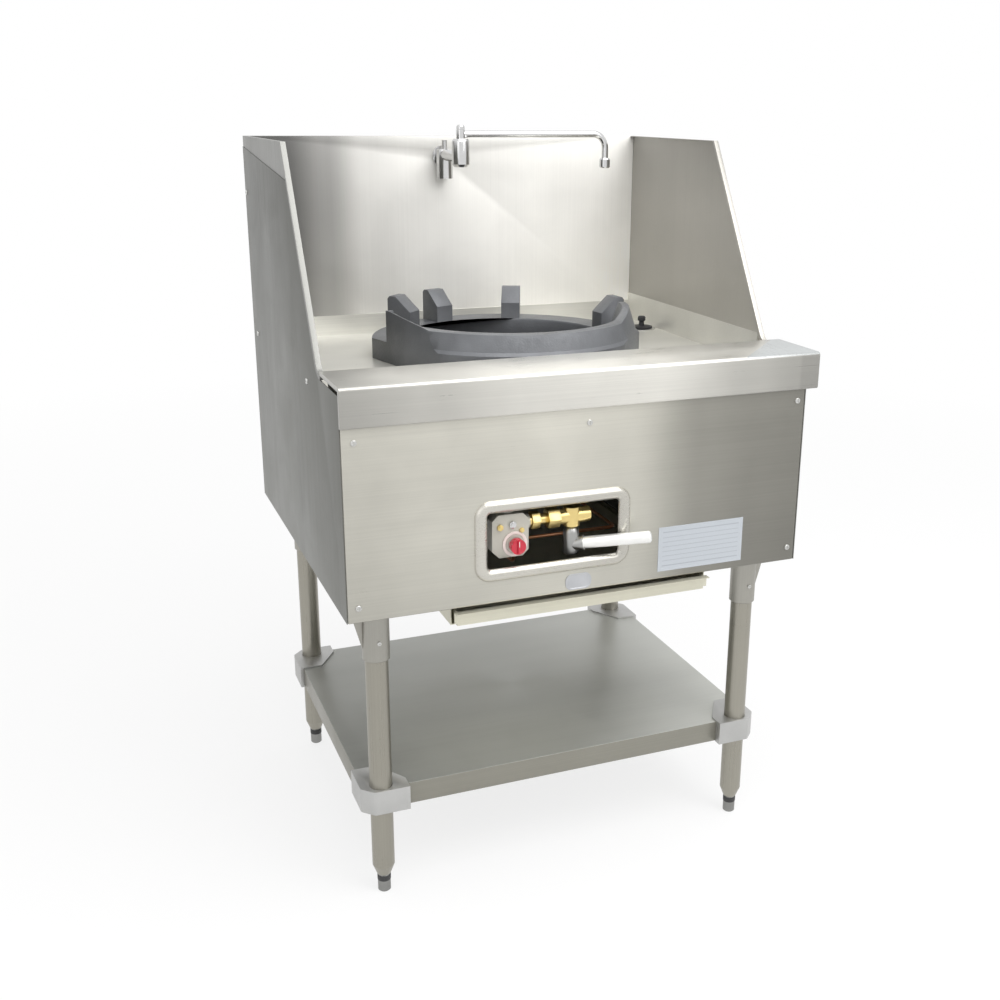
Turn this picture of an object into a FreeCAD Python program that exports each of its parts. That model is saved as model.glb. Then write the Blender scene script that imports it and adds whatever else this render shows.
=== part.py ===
"""A free-standing gas wok range: a stainless cabinet on four tube legs with a sunken worktop,
a cast wok ring over a ring burner, a high splashback with a swing tap, and a shelf below.

Lengths are millimetres. While it is drawn, x runs across the cabinet from its middle, y runs
back to front as negative numbers from the rear panel, and z is the height over the floor. Every
sub-part's Placement then moves it so that the origin is under the middle of the whole range.
"""
import FreeCAD, Part
import math
import os

import Sketcher
from FreeCAD import Placement, Rotation, Vector

SIZES = {
    # cabinet and sheet
    "cabinet_width": 800,
    "cabinet_depth": 712,
    "cabinet_bottom": 530,
    "sheet_thick": 1.2,
    "plate_thick": 1.5,
    "fit_gap": 0.3,
    # worktop
    "worktop_height": 900,
    "nose_height": 62,
    "nose_reach": 10,
    "nose_overhang": 16,
    "deck_depth": 125,
    "well_sink": 50,
    "side_upstand": 55,
    "rear_upstand": 39,
    # splashback and wings
    "wall_height": 1229,
    "service_gap": 30,
    "wing_top_length": 376,
    "wing_foot_length": 579,
    "side_edge_drop": 7,
    "wing_foot_radius": 30,
    "edge_band": 6,
    "edge_band_width": 9,
    "skin_rear_drop": 19,
    "skin_front_drop": 59,
    # control window
    "window_centre": 59,
    "window_width": 227,
    "window_height": 93,
    "window_rise": 58,
    "frame_border": 21,
    "frame_rise": 7,
    "frame_corner": 17,
    # legs, feet and shelf
    "leg_side_inset": 60,
    "leg_front_inset": 66,
    "leg_rear_inset": 97,
    "leg_diameter": 38,
    "leg_wall": 1.5,
    "socket_length": 95,
    "socket_wall": 3.2,
    "socket_plate": 4,
    "foot_diameter": 22,
    "foot_height": 34,
    "foot_stem": 46,
    "shelf_height": 201,
    "shelf_edge": 39,
    "shelf_side_margin": 29,
    "shelf_end_margin": 9,
    # wok ring and burner
    "ring_setback": 336,
    "ring_opening": 376,
    "ring_flange": 55,
    "ring_base": 37,
    "ring_wall": 93,
    "ring_scoop": 78,
    "ring_top_inset": 20,
    "lug_width": 36,
    "lug_height": 95,
    "chamber_margin": 15,
    "chamber_depth": 150,
    "burner_radius": 85,
    "gas_height": 653,
    # gas controls
    "valve_setback": 26,
    "valve_offset": 18,
    "lever_length": 133.5,
    "lever_radius": 10,
    "knob_radius": 12.5,
    "knob_length": 12,
    "gas_pipe_radius": 13.4,
    "gas_stub": 25,
    "waste_radius": 20.95,
    "water_pipe_radius": 10.5,
    "screw_head": 2.2,
    # tap
    "tap_offset": 21,
    "tap_height": 1192,
    "tap_reach": 150,
    "spout_length": 298,
    "spout_drop": 45,
    "spout_radius": 6.4,
    # drip tray
    "tray_width": 444,
    "tray_height": 24,
    "tray_drop": 8,
}

doc = FreeCAD.newDocument("wok_range")
sheet = doc.addObject("Spreadsheet::Sheet", "dims")
for row, (alias, number) in enumerate(SIZES.items(), start=1):
    sheet.set(f"A{row}", alias)
    sheet.set(f"B{row}", str(number))
    sheet.setAlias(f"B{row}", alias)
doc.recompute()


class Size:
    """A length that carries both its number and the sheet formula it comes from."""

    def __init__(self, number, formula):
        self.number = number
        self.formula = formula

    def __add__(self, other):
        other = as_size(other)
        return Size(self.number + other.number, f"({self.formula} + {other.formula})")

    def __sub__(self, other):
        other = as_size(other)
        return Size(self.number - other.number, f"({self.formula} - {other.formula})")

    def __mul__(self, other):
        other = as_size(other)
        return Size(self.number * other.number, f"({self.formula} * {other.formula})")

    def __truediv__(self, other):
        other = as_size(other)
        return Size(self.number / other.number, f"({self.formula} / {other.formula})")

    def __neg__(self):
        return Size(-self.number, f"(0 - {self.formula})")

    __radd__ = __add__
    __rmul__ = __mul__

    def __rsub__(self, other):
        return as_size(other) - self


def as_size(value):
    """Wrap a plain number, so that it mixes with sizes from the sheet."""
    return value if isinstance(value, Size) else Size(float(value), f"({float(value)})")


class Dims:
    """Every alias of the sheet as a Size."""

    def __getattr__(self, alias):
        return Size(float(SIZES[alias]), f"dims.{alias}")


d = Dims()
parts = []


# ---------------------------------------------------------------- sketch outlines

def polygon(*points):
    """A closed outline of straight edges, every corner tied to the sketch origin."""
    def draw(sketch):
        corners = [(as_size(x), as_size(y)) for x, y in points]
        lines = []
        for index, (x, y) in enumerate(corners):
            next_x, next_y = corners[(index + 1) % len(corners)]
            segment = Part.LineSegment(Vector(x.number, y.number, 0),
                                       Vector(next_x.number, next_y.number, 0))
            lines.append(sketch.addGeometry(segment, False))
        for index, line in enumerate(lines):
            following = lines[(index + 1) % len(lines)]
            sketch.addConstraint(Sketcher.Constraint("Coincident", line, 2, following, 1))
        for line, (x, y) in zip(lines, corners):
            tie(sketch, "DistanceX", line, 1, x)
            tie(sketch, "DistanceY", line, 1, y)
    return draw


def rectangle(x0, y0, x1, y1):
    return polygon((x0, y0), (x1, y0), (x1, y1), (x0, y1))


def disc(x, y, radius):
    """A full circle."""
    def draw(sketch):
        centre_x, centre_y, size = as_size(x), as_size(y), as_size(radius)
        circle = Part.Circle(Vector(centre_x.number, centre_y.number, 0), Vector(0, 0, 1),
                             size.number)
        ring = sketch.addGeometry(circle, False)
        tie(sketch, "DistanceX", ring, 3, centre_x)
        tie(sketch, "DistanceY", ring, 3, centre_y)
        index = sketch.addConstraint(Sketcher.Constraint("Radius", ring, size.number))
        sketch.setExpression(f"Constraints[{index}]", size.formula)
    return draw


def tie(sketch, kind, geometry, point, size):
    """Hold one coordinate of a sketch point at a size, or on the axis where it is zero."""
    if abs(size.number) < 1e-9:
        axis = -2 if kind == "DistanceX" else -1
        sketch.addConstraint(Sketcher.Constraint("PointOnObject", geometry, point, axis))
        return
    index = sketch.addConstraint(Sketcher.Constraint(kind, -1, 1, geometry, point, size.number))
    sketch.setExpression(f"Constraints[{index}]", size.formula)


# ---------------------------------------------------------------- sub-parts

class Piece:
    """One sub-part made as a body of sketched features."""

    def __init__(self, name):
        self.body = doc.addObject("PartDesign::Body", name)
        self.body.Label = name
        self.features = 0
        parts.append(self.body)

    def sketch(self, plane, offset, outlines, turn=0):
        sketch = self.body.newObject("Sketcher::SketchObject", f"{self.body.Name}_sketch")
        origin_plane = next(feature for feature in self.body.Origin.OriginFeatures
                            if feature.Role == plane)
        sketch.AttachmentSupport = [(origin_plane, "")]
        sketch.MapMode = "FlatFace"
        if turn:
            sketch.AttachmentOffset = Placement(Vector(0, 0, 0), Rotation(Vector(0, 1, 0), turn))
        offset = as_size(offset)
        if offset.number:
            sketch.setExpression("AttachmentOffset.Base.z", offset.formula)
        for outline in outlines:
            outline(sketch)
        return sketch

    def feature(self, kind, sketch, length, reverse=False):
        feature = self.body.newObject(f"PartDesign::{kind}", f"{self.body.Name}_{kind.lower()}")
        feature.Profile = sketch
        feature.Reversed = reverse
        feature.setExpression("Length", as_size(length).formula)
        self.body.Tip = feature
        self.features += 1
        return feature

    def block_x(self, x0, x1, *outlines):
        """Add material from x0 to x1; the outlines are (y, z)."""
        sketch = self.sketch("YZ_Plane", x0, outlines)
        return self.feature("Pad", sketch, as_size(x1) - x0)

    def block_y(self, y0, y1, *outlines):
        """Add material from y0 back to y1; the outlines are (x, z)."""
        sketch = self.sketch("XZ_Plane", -as_size(y1), outlines)
        return self.feature("Pad", sketch, as_size(y1) - y0)

    def block_z(self, z0, z1, *outlines):
        """Add material from z0 up to z1; the outlines are (x, y)."""
        sketch = self.sketch("XY_Plane", z0, outlines)
        return self.feature("Pad", sketch, as_size(z1) - z0)

    def cut(self, plane, offset, depth, outlines, turn=0):
        doc.recompute()
        before = self.body.Shape.Volume
        sketch = self.sketch(plane, offset, outlines, turn)
        feature = self.feature("Pocket", sketch, depth, reverse=True)
        doc.recompute()
        if not self.body.Shape.Volume < before - 1e-6:
            raise ValueError(f"{self.body.Label}: a cut took nothing away")
        return feature

    def cut_y(self, y0, y1, *outlines):
        return self.cut("XZ_Plane", -as_size(y1), as_size(y1) - y0, outlines)

    def cut_z(self, z0, z1, *outlines):
        return self.cut("XY_Plane", z0, as_size(z1) - z0, outlines)

    def turned(self, *profile):
        """Turn a (radius, height) outline round the piece's own z axis."""
        sketch = self.sketch("XZ_Plane", 0, [polygon(*profile)])
        feature = self.body.newObject("PartDesign::Revolution", f"{self.body.Name}_turned")
        feature.Profile = sketch
        feature.ReferenceAxis = (sketch, ["V_Axis"])
        feature.Angle = 360
        self.body.Tip = feature
        self.features += 1
        return feature

    def round_edges(self, radius, picks):
        """Fillet the straight edges that pass through the picked points."""
        doc.recompute()
        base = self.body.Tip
        names = edge_names(base.Shape, picks)
        feature = self.body.newObject("PartDesign::Fillet", f"{self.body.Name}_fillet")
        feature.Base = (base, names)
        feature.setExpression("Radius", as_size(radius).formula)
        self.body.Tip = feature
        return feature

    def repeat_round(self, feature, count):
        """Repeat a feature evenly round the piece's own z axis."""
        pattern = self.body.newObject("PartDesign::PolarPattern", f"{self.body.Name}_pattern")
        pattern.Originals = [feature]
        axis = next(item for item in self.body.Origin.OriginFeatures if item.Role == "Z_Axis")
        pattern.Axis = (axis, [""])
        pattern.Angle = 360
        pattern.Occurrences = count
        self.body.Tip = pattern
        return pattern

    def place(self, x=0, y=0, z=0, rotation=None):
        place(self.body, x, y, z, rotation)


def edge_names(shape, picks):
    """Names of the edges nearest to the picked points, one each."""
    names = []
    for pick in picks:
        target = Part.Vertex(Vector(*[as_size(value).number for value in pick]))
        distances = [edge.distToShape(target)[0] for edge in shape.Edges]
        names.append(f"Edge{distances.index(min(distances)) + 1}")
    return names


# the whole range's box, which the origin is centred in
half_width = d.cabinet_width / 2
front_face = -d.cabinet_depth
chamber_radius = d.ring_opening / 2 + d.chamber_margin
valve_y = front_face + d.valve_setback
lever_front = valve_y - 0.523402 * (d.lever_length - 2) - 0.783915 * d.lever_radius
origin_x = -(d.nose_overhang - d.screw_head) / 2
origin_y = -(d.gas_stub + lever_front) / 2


def place(thing, x=0, y=0, z=0, rotation=None):
    """Put a sub-part where it stands in the frame of the whole range."""
    if rotation is not None:
        thing.Placement = Placement(Vector(0, 0, 0), rotation)
    thing.setExpression("Placement.Base.x", (origin_x + x).formula)
    thing.setExpression("Placement.Base.y", (origin_y + y).formula)
    if as_size(z).number:
        thing.setExpression("Placement.Base.z", as_size(z).formula)


def group(name, members):
    """Several like solids, such as screws, as one sub-part."""
    compound = doc.addObject("Part::Compound", name)
    compound.Label = name
    compound.Links = members
    parts.append(compound)
    return compound


def tube_path(points, bend):
    """Straight runs between the points, joined by arcs that touch both runs."""
    edges = []
    start = Vector(*points[0])
    for before, corner, after in zip(points, points[1:], points[2:]):
        corner = Vector(*corner)
        towards = (corner - Vector(*before)).normalize()
        away = (Vector(*after) - corner).normalize()
        half_turn = towards.getAngle(away) / 2
        tangent = bend * math.tan(half_turn)
        arc_start = corner - towards * tangent
        arc_end = corner + away * tangent
        inward = (away - towards).normalize()
        middle = corner + inward * bend * (1 / math.cos(half_turn) - 1)
        edges.append(Part.LineSegment(start, arc_start).toShape())
        edges.append(Part.Arc(arc_start, middle, arc_end).toShape())
        start = arc_end
    edges.append(Part.LineSegment(start, Vector(*points[-1])).toShape())
    return Part.Wire(edges)


def bent_rod(points, radius, bend):
    """A round rod or tube's outside along a bent path."""
    path = tube_path(points, bend)
    first, second = Vector(*points[0]), Vector(*points[1])
    section = Part.Wire([Part.makeCircle(radius, first, second - first)])
    rod = path.makePipeShell([section], True, False)
    length = path.Length
    if abs(rod.Volume - math.pi * radius ** 2 * length) > 0.01 * rod.Volume:
        raise ValueError("the rod's volume is not its section times its length")
    return rod


def shape_part(name, shape):
    """A sub-part whose shape is worked out directly."""
    feature = doc.addObject("Part::Feature", name)
    feature.Label = name
    feature.Shape = shape
    parts.append(feature)
    return feature


# ---------------------------------------------------------------- cabinet shell

def sloped_edge(offset=0):
    """Top, corner and rear corner points of a wing's front edge, set back by an offset."""
    top = (-d.wing_top_length + offset, d.wall_height)
    foot = (-d.wing_foot_length + offset, d.worktop_height - d.side_edge_drop - offset)
    return top, foot


def slope_at(height, offset=0):
    """How far forward the wing's front edge is at a height."""
    (top_y, top_z), (foot_y, foot_z) = sloped_edge(offset)
    return top_y + (foot_y - top_y) * (top_z - height) / (top_z - foot_z)


def side_panel(name, side):
    """Outer skin of one side, from the rear corner to the front corner, with a sloped top."""
    panel = Piece(name)
    outer = half_width
    inner = half_width - d.sheet_thick
    low, high = (inner, outer) if side > 0 else (-outer, -inner)
    rear_top = d.wall_height - d.skin_rear_drop
    front_top = d.wall_height - d.skin_front_drop
    foot_y, foot_z = sloped_edge(d.edge_band)[1]
    panel.block_x(low, high, polygon(
        (0, d.cabinet_bottom), (0, rear_top),
        (slope_at(front_top, d.edge_band), front_top),
        (foot_y, foot_z), (front_face, foot_z), (front_face, d.cabinet_bottom)))
    flange_low, flange_high = (inner - 15, inner) if side > 0 else (-inner, 15 - inner)
    panel.block_z(d.cabinet_bottom, d.cabinet_bottom + d.sheet_thick,
                  rectangle(flange_low, front_face + 14, flange_high, -12))
    panel.round_edges(d.wing_foot_radius + d.edge_band, [(low + 0.6, foot_y, foot_z)])
    panel.place()


def wing(name, side):
    """Inner splash sheet of one side, with the thick hemmed edge that runs down to the deck."""
    sheet_piece = Piece(name)
    outer = half_width - d.sheet_thick
    inner = outer - d.sheet_thick
    low, high = (inner, outer) if side > 0 else (-outer, -inner)
    behind_top, behind_foot = sloped_edge(d.edge_band)
    front_top, front_foot = sloped_edge()
    lower = d.worktop_height - d.well_sink + 30
    rear = -d.sheet_thick
    sheet_piece.block_x(low, high, polygon(
        (rear, lower), (rear, d.wall_height), (behind_top[0], d.wall_height), behind_foot,
        (-d.wing_foot_length - 16, behind_foot[1]), (-d.wing_foot_length - 16, lower)))
    band_inner = half_width - d.edge_band_width
    band = (band_inner, half_width) if side > 0 else (-half_width, -band_inner)
    band_front = front_face - d.nose_reach + d.deck_depth
    sheet_piece.block_x(band[0], band[1], polygon(
        front_top, (behind_top[0], d.wall_height), behind_foot,
        (band_front, behind_foot[1]), (band_front, front_foot[1]), front_foot))
    sheet_piece.round_edges(d.wing_foot_radius, [(band[0] + 4.5, front_foot[0], front_foot[1])])
    sheet_piece.round_edges(d.wing_foot_radius + d.edge_band,
                            [(edge_x * side, behind_foot[0], behind_foot[1])
                             for edge_x in (half_width - 0.6, band_inner + 1)])
    hem_inner = half_width - d.edge_band_width
    hem = (hem_inner, inner) if side > 0 else (-inner, -hem_inner)
    sheet_piece.block_z(d.wall_height - d.sheet_thick, d.wall_height,
                        rectangle(hem[0], behind_top[0], hem[1], -d.service_gap))
    sheet_piece.place()


side_panel("side_panel_left", -1)
side_panel("side_panel_right", 1)
wing("wing_left", -1)
wing("wing_right", 1)


def build_splashback():
    """Rear splash skin with a box top that hides the water pipe."""
    wall = Piece("splashback")
    across = half_width - 2 * d.sheet_thick
    top = d.wall_height
    bottom = d.worktop_height - d.well_sink + 10
    face = -d.service_gap
    skin_back = face + d.sheet_thick
    back = -d.sheet_thick
    wall.block_x(-across, across, polygon(
        (face, bottom), (face, top), (back, top), (back, top - 14),
        (back - d.sheet_thick, top - 14), (back - d.sheet_thick, top - d.sheet_thick),
        (skin_back, top - d.sheet_thick), (skin_back, bottom)))
    wall.cut_y(face - 1, skin_back + 1, disc(-d.tap_offset, d.tap_height, 10.5))
    wall.place()


def build_rear_panel():
    """Flat rear closing sheet with the hole for the gas pipe."""
    panel = Piece("rear_panel")
    across = half_width - d.sheet_thick
    panel.block_y(-d.sheet_thick, 0,
                  rectangle(-across, d.cabinet_bottom, across, d.wall_height),
                  disc(gas_pipe_x, gas_pipe_z, d.gas_pipe_radius - 1.4))
    panel.place()


def build_worktop_well():
    """Sunken stainless tray of the worktop, with upstands, burner hole and waste hole."""
    well = Piece("worktop_well")
    side = half_width - 2 * d.sheet_thick
    floor_top = d.worktop_height - d.well_sink
    floor_low = floor_top - d.plate_thick
    front = front_face - d.nose_reach + d.deck_depth
    rear = -d.service_gap
    side_top = floor_top + d.side_upstand
    rear_top = floor_top + d.rear_upstand
    step_y = -d.wing_foot_length + 23
    step_z = d.worktop_height - d.side_edge_drop - d.edge_band - 2
    well.block_z(floor_low, floor_top, rectangle(-side, front, side, rear),
                 disc(0, -d.ring_setback, chamber_radius + 2),
                 disc(waste_x, waste_y, d.waste_radius - 0.75 + d.fit_gap))
    for low, high in ((-side, -side + d.plate_thick), (side - d.plate_thick, side)):
        well.block_x(low, high, polygon((front, floor_low), (front, step_z), (step_y, step_z),
                                        (step_y, side_top), (rear, side_top), (rear, floor_low)))
    well.block_y(rear - d.plate_thick, rear, rectangle(-side, floor_low, side, rear_top))
    well.block_y(front, front + d.plate_thick,
                 rectangle(-side + 10, floor_low, side - 10, d.worktop_height - d.plate_thick))
    well.place()


def build_front_rail():
    """Front deck and deep square nose in one folding, lapping over to the right."""
    rail = Piece("front_rail")
    top = d.worktop_height
    nose = front_face - d.nose_reach
    back = nose + d.deck_depth + d.plate_thick
    low = top - d.nose_height
    left, right = -half_width, half_width + d.nose_overhang
    return_end = front_face - d.fit_gap
    rail.block_x(left, right, polygon(
        (back, top), (nose, top), (nose, low), (return_end, low), (return_end, low + d.plate_thick),
        (nose + d.plate_thick, low + d.plate_thick), (nose + d.plate_thick, top - d.plate_thick),
        (back, top - d.plate_thick)))
    edge = top - d.side_edge_drop
    for start, end in ((left, left + d.plate_thick), (right - d.plate_thick, right)):
        rail.block_x(start, end, polygon((nose, low), (nose, top), (back, top), (back, edge),
                                         (return_end, edge), (return_end, low)))
    rail.round_edges(6, [(half_width / 3, nose, top)])
    rail.round_edges(3, [(half_width / 3, nose, low)])
    rail.place()


def build_front_panel():
    """Front cover pan with rounded sides, screwed on over the gas controls."""
    panel = Piece("front_panel")
    across = half_width - d.sheet_thick
    bottom = d.cabinet_bottom - 0.5
    top = d.worktop_height - d.nose_height + 32
    back = front_face + d.sheet_thick
    panel.block_y(front_face, back, rectangle(-across, bottom, across, top),
                  rectangle(window_left, window_low, window_right, window_high))
    for start, end in ((-across, -across + d.sheet_thick), (across - d.sheet_thick, across)):
        panel.block_y(front_face, front_face + 12, rectangle(start, bottom, end, top))
    panel.block_y(front_face, front_face + 12,
                  rectangle(-across, bottom, across, bottom + d.sheet_thick))
    middle = (bottom + top) / 2
    panel.round_edges(3, [(-across, front_face, middle), (across, front_face, middle)])
    panel.round_edges(3, [(half_width / 4, front_face, bottom)])
    panel.place()


def build_window_frame():
    """Pressed surround of the control window: a half-round bead mitred into soft corners."""
    border = d.frame_border.number
    rise = d.frame_rise.number
    sheet_thick = d.sheet_thick.number
    middle = border / 2
    x0, x1 = window_left.number - middle, window_right.number + middle
    z0, z1 = window_low.number - middle, window_high.number + middle
    y = front_face.number
    corner = d.frame_corner.number
    start = ((x0 + x1) / 2, y, z1)
    corners = [start, (x1, y, z1), (x1, y, z0), (x0, y, z0), (x0, y, z1), start]
    path = tube_path(corners, corner)
    low, high = z1 - middle, z1 + middle
    centre_x = start[0]

    def arch(reach, lift):
        return Part.Arc(Vector(centre_x, y, low + reach), Vector(centre_x, y - lift, z1),
                        Vector(centre_x, y, high - reach)).toShape()

    outer, inner = arch(0, rise), arch(1.6, rise - sheet_thick)
    section = Part.Wire([outer,
                         Part.LineSegment(Vector(centre_x, y, high),
                                          Vector(centre_x, y, high - 1.6)).toShape(),
                         inner,
                         Part.LineSegment(Vector(centre_x, y, low + 1.6),
                                          Vector(centre_x, y, low)).toShape()])
    frame = shape_part("window_frame", path.makePipeShell([section], True, True))
    frame.Placement = Placement(Vector(origin_x.number, origin_y.number, 0), Rotation())


gas_pipe_x = -130
gas_pipe_z = 640
waste_x = half_width - 35
waste_y = -160
window_left = -d.window_centre - d.window_width / 2
window_right = -d.window_centre + d.window_width / 2
window_low = d.cabinet_bottom + d.window_rise
window_high = window_low + d.window_height

build_splashback()
build_rear_panel()
build_worktop_well()
build_front_rail()
build_front_panel()
build_window_frame()


# ---------------------------------------------------------------- base frame, legs and shelf

frame_low = d.cabinet_bottom + d.sheet_thick
frame_thick = 3
runner_x = d.tray_width / 2 + 6


def build_base_frame():
    """Angle-iron frame inside the cabinet's foot, with two cross bars for tray and burner."""
    frame = Piece("base_frame")
    side = half_width - d.sheet_thick - 2.3
    front = front_face + 14
    rear = -4
    leg = 30
    frame.block_z(frame_low, frame_low + frame_thick,
                  rectangle(-side, front, side, rear),
                  rectangle(leg - side, front + leg, side - leg, rear - leg))
    frame.block_z(frame_low, frame_low + leg,
                  rectangle(-side, front, side, rear),
                  rectangle(frame_thick - side, front + frame_thick,
                            side - frame_thick, rear - frame_thick))
    for start, end in ((-runner_x - 24, -runner_x + 6), (runner_x - 6, runner_x + 24)):
        frame.block_z(frame_low, frame_low + frame_thick,
                      rectangle(start, front + leg - 2, end, rear - leg + 2))
    frame.cut_z(frame_low - 1, frame_low + frame_thick + 1,
                disc(-d.tap_offset, -18, d.water_pipe_radius + 0.5))
    frame.place()


leg_x = half_width - d.leg_side_inset
leg_front_y = front_face + d.leg_front_inset
leg_rear_y = -d.leg_rear_inset
leg_radius = d.leg_diameter / 2
bore = leg_radius + d.fit_gap
CORNERS = (("front_left", -1, -1), ("front_right", 1, -1), ("rear_left", -1, 1),
           ("rear_right", 1, 1))


def build_leg(corner, side, end):
    """Socket, tube leg, screwed foot and shelf clamp of one corner, drawn round the leg's axis."""
    x = leg_x * side
    y = leg_front_y if end < 0 else leg_rear_y

    socket = Piece(f"leg_socket_{corner}")
    plate_top = frame_low
    plate_low = plate_top - d.socket_plate
    tube_low = plate_top - d.socket_length
    outer = bore + d.socket_wall
    leg_top = plate_top - d.socket_plate - 12
    socket.turned((bore, tube_low), (outer - 1, tube_low), (outer, tube_low + 1),
                  (outer, plate_low), (0, plate_low), (0, leg_top), (bore, leg_top))
    socket.block_z(plate_low, plate_top, rectangle(-40, -40, 40, 40))
    web = polygon((side * (outer - 1), tube_low + 16), (side * 38, plate_low - 14),
                  (side * 38, plate_low), (side * (outer - 1), plate_low))
    socket.block_y(-3, 3, web)
    socket.place(x, y)

    leg = Piece(f"leg_{corner}")
    wall = leg_radius - d.leg_wall
    stem_bore = 6.3
    foot_top = d.foot_height
    leg.turned((wall, leg_top), (leg_radius, leg_top), (leg_radius, foot_top + 18),
               (d.foot_diameter / 2 + 1, foot_top), (stem_bore, foot_top),
               (stem_bore, foot_top + 26), (wall, foot_top + 26))
    leg.place(x, y)

    foot = Piece(f"foot_{corner}")
    foot_radius = d.foot_diameter / 2
    stem_top = foot_top + d.foot_stem
    foot.turned((0, 0), (foot_radius - 2, 0), (foot_radius, 2), (foot_radius, foot_top - 2),
                (foot_radius - 1.5, foot_top), (6, foot_top), (6, stem_top - 1.5),
                (4.5, stem_top), (0, stem_top))
    foot.place(x, y)

    clamp = Piece(f"shelf_clamp_{corner}")
    sx, sy = side, end
    arm = d.shelf_side_margin
    lip = d.shelf_end_margin
    block = bore + 6.7
    far = 62
    low = d.shelf_height - d.shelf_edge - 1
    top = d.shelf_height
    outside = arm + 7
    ahead = lip + 15
    clamp.block_z(low, top, polygon(
        (sx * outside, -sy * far), (sx * outside, sy * 4), (sx * 16, sy * ahead),
        (-sx * 44, sy * ahead), (-sx * 44, sy * lip), (-sx * block, sy * lip),
        (-sx * block, -sy * block), (sx * arm, -sy * block), (sx * arm, -sy * far)),
        disc(0, 0, bore))
    clamp.block_z(top, top + 3, polygon(
        (sx * outside, -sy * far), (sx * outside, sy * 4), (sx * 16, sy * ahead),
        (-sx * 44, sy * ahead), (-sx * 44, -sy * 6), (-sx * 8, -sy * far)),
        disc(0, 0, bore))
    clamp.block_z(low + 8, top - 8, rectangle(leg_radius, -3, bore + 2, 3))
    half_up = top - 12
    clamp.round_edges(9, [(sx * outside, sy * 4, half_up), (sx * 16, sy * ahead, half_up)])
    clamp.place(x, y)


def build_shelf():
    """Undershelf pressed from one sheet, edges folded down, corners cut out for the clamps."""
    shelf = Piece("shelf")
    side = leg_x + d.shelf_side_margin
    front = leg_front_y - d.shelf_end_margin
    rear = leg_rear_y + d.shelf_end_margin
    top = d.shelf_height
    low = top - d.shelf_edge
    thick = d.sheet_thick
    block = bore + 6.7 + d.fit_gap
    shelf.block_z(low, top, rectangle(-side, front, side, rear))
    shelf.cut_z(low + thick, top - thick,
                rectangle(thick - side, front + thick, side - thick, rear - thick))
    shelf.cut_z(low - 1, low + thick + 1,
                rectangle(14 - side, front + 14, side - 14, rear - 14))
    for sx, leg_y, sy in ((-1, leg_front_y, -1), (1, leg_front_y, -1),
                          (-1, leg_rear_y, 1), (1, leg_rear_y, 1)):
        inner_x = (leg_x - block) * sx
        inner_y = leg_y - block * sy
        shelf.cut_z(low - 1, top + 1,
                    rectangle(inner_x, inner_y, (side + 1) * sx, leg_y + (d.shelf_end_margin + 1) * sy))
    shelf.place()


build_base_frame()
for corner_name, side_sign, end_sign in CORNERS:
    build_leg(corner_name, side_sign, end_sign)
build_shelf()


# ---------------------------------------------------------------- wok ring and burner

LUG_ANGLES = (5, 67, 108, 134)
FLATS = ((194, 0.885), (-38, 0.965))
floor_top = d.worktop_height - d.well_sink


def build_wok_ring():
    """Cast ring: a funnel wall, high and scooped in front, low behind, with four wok lugs."""
    ring = Piece("wok_ring")
    opening = d.ring_opening / 2
    outer = opening + d.ring_flange
    base = d.ring_base
    wall = d.ring_wall
    crest = outer - d.ring_top_inset
    spigot = chamber_radius - 2 - d.fit_gap
    ring.turned((opening, 0), (opening + 4, 0), (opening + 4, -12), (spigot, -12), (spigot, 0),
                (outer, 0), (outer, base + 8), (outer - 6, base + 13), (crest, wall),
                (crest - 12, wall), (opening, base - 4))
    ring.cut_z(base, wall + 1, polygon((-outer - 1, 8), (outer + 1, -40),
                                       (outer + 1, outer + 1), (-outer - 1, outer + 1)))
    left_bend, right_bend = opening - 2, opening - 38
    ring.cut_y(-outer - 1, 0, polygon((-left_bend, d.ring_scoop), (right_bend, d.ring_scoop),
                                      (outer - 25, wall + 12), (outer - 25, wall + 30),
                                      (-outer + 12, wall + 30), (-outer + 12, wall + 5)))
    for angle, depth in FLATS:
        across, along = math.cos(math.radians(angle)), math.sin(math.radians(angle))
        near, far = outer * depth, outer + 30
        ring.cut_z(-1, wall + 2, polygon(
            (near * across + outer * along, near * along - outer * across),
            (far * across + outer * along, far * along - outer * across),
            (far * across - outer * along, far * along + outer * across),
            (near * across - outer * along, near * along + outer * across)))
    inner_face = opening + 2
    tall = d.lug_height
    for angle in LUG_ANGLES:
        profile = polygon((inner_face, base - 8), (outer - 5, base - 8), (outer - 5, tall - 5),
                          (outer - 9, tall), (outer - 22, tall), (inner_face, tall - 28))
        sketch = ring.sketch("XZ_Plane", 0, [profile], turn=angle)
        lug = ring.feature("Pad", sketch, d.lug_width)
        lug.Midplane = True
    ring.place(0, -d.ring_setback, floor_top)


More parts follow.
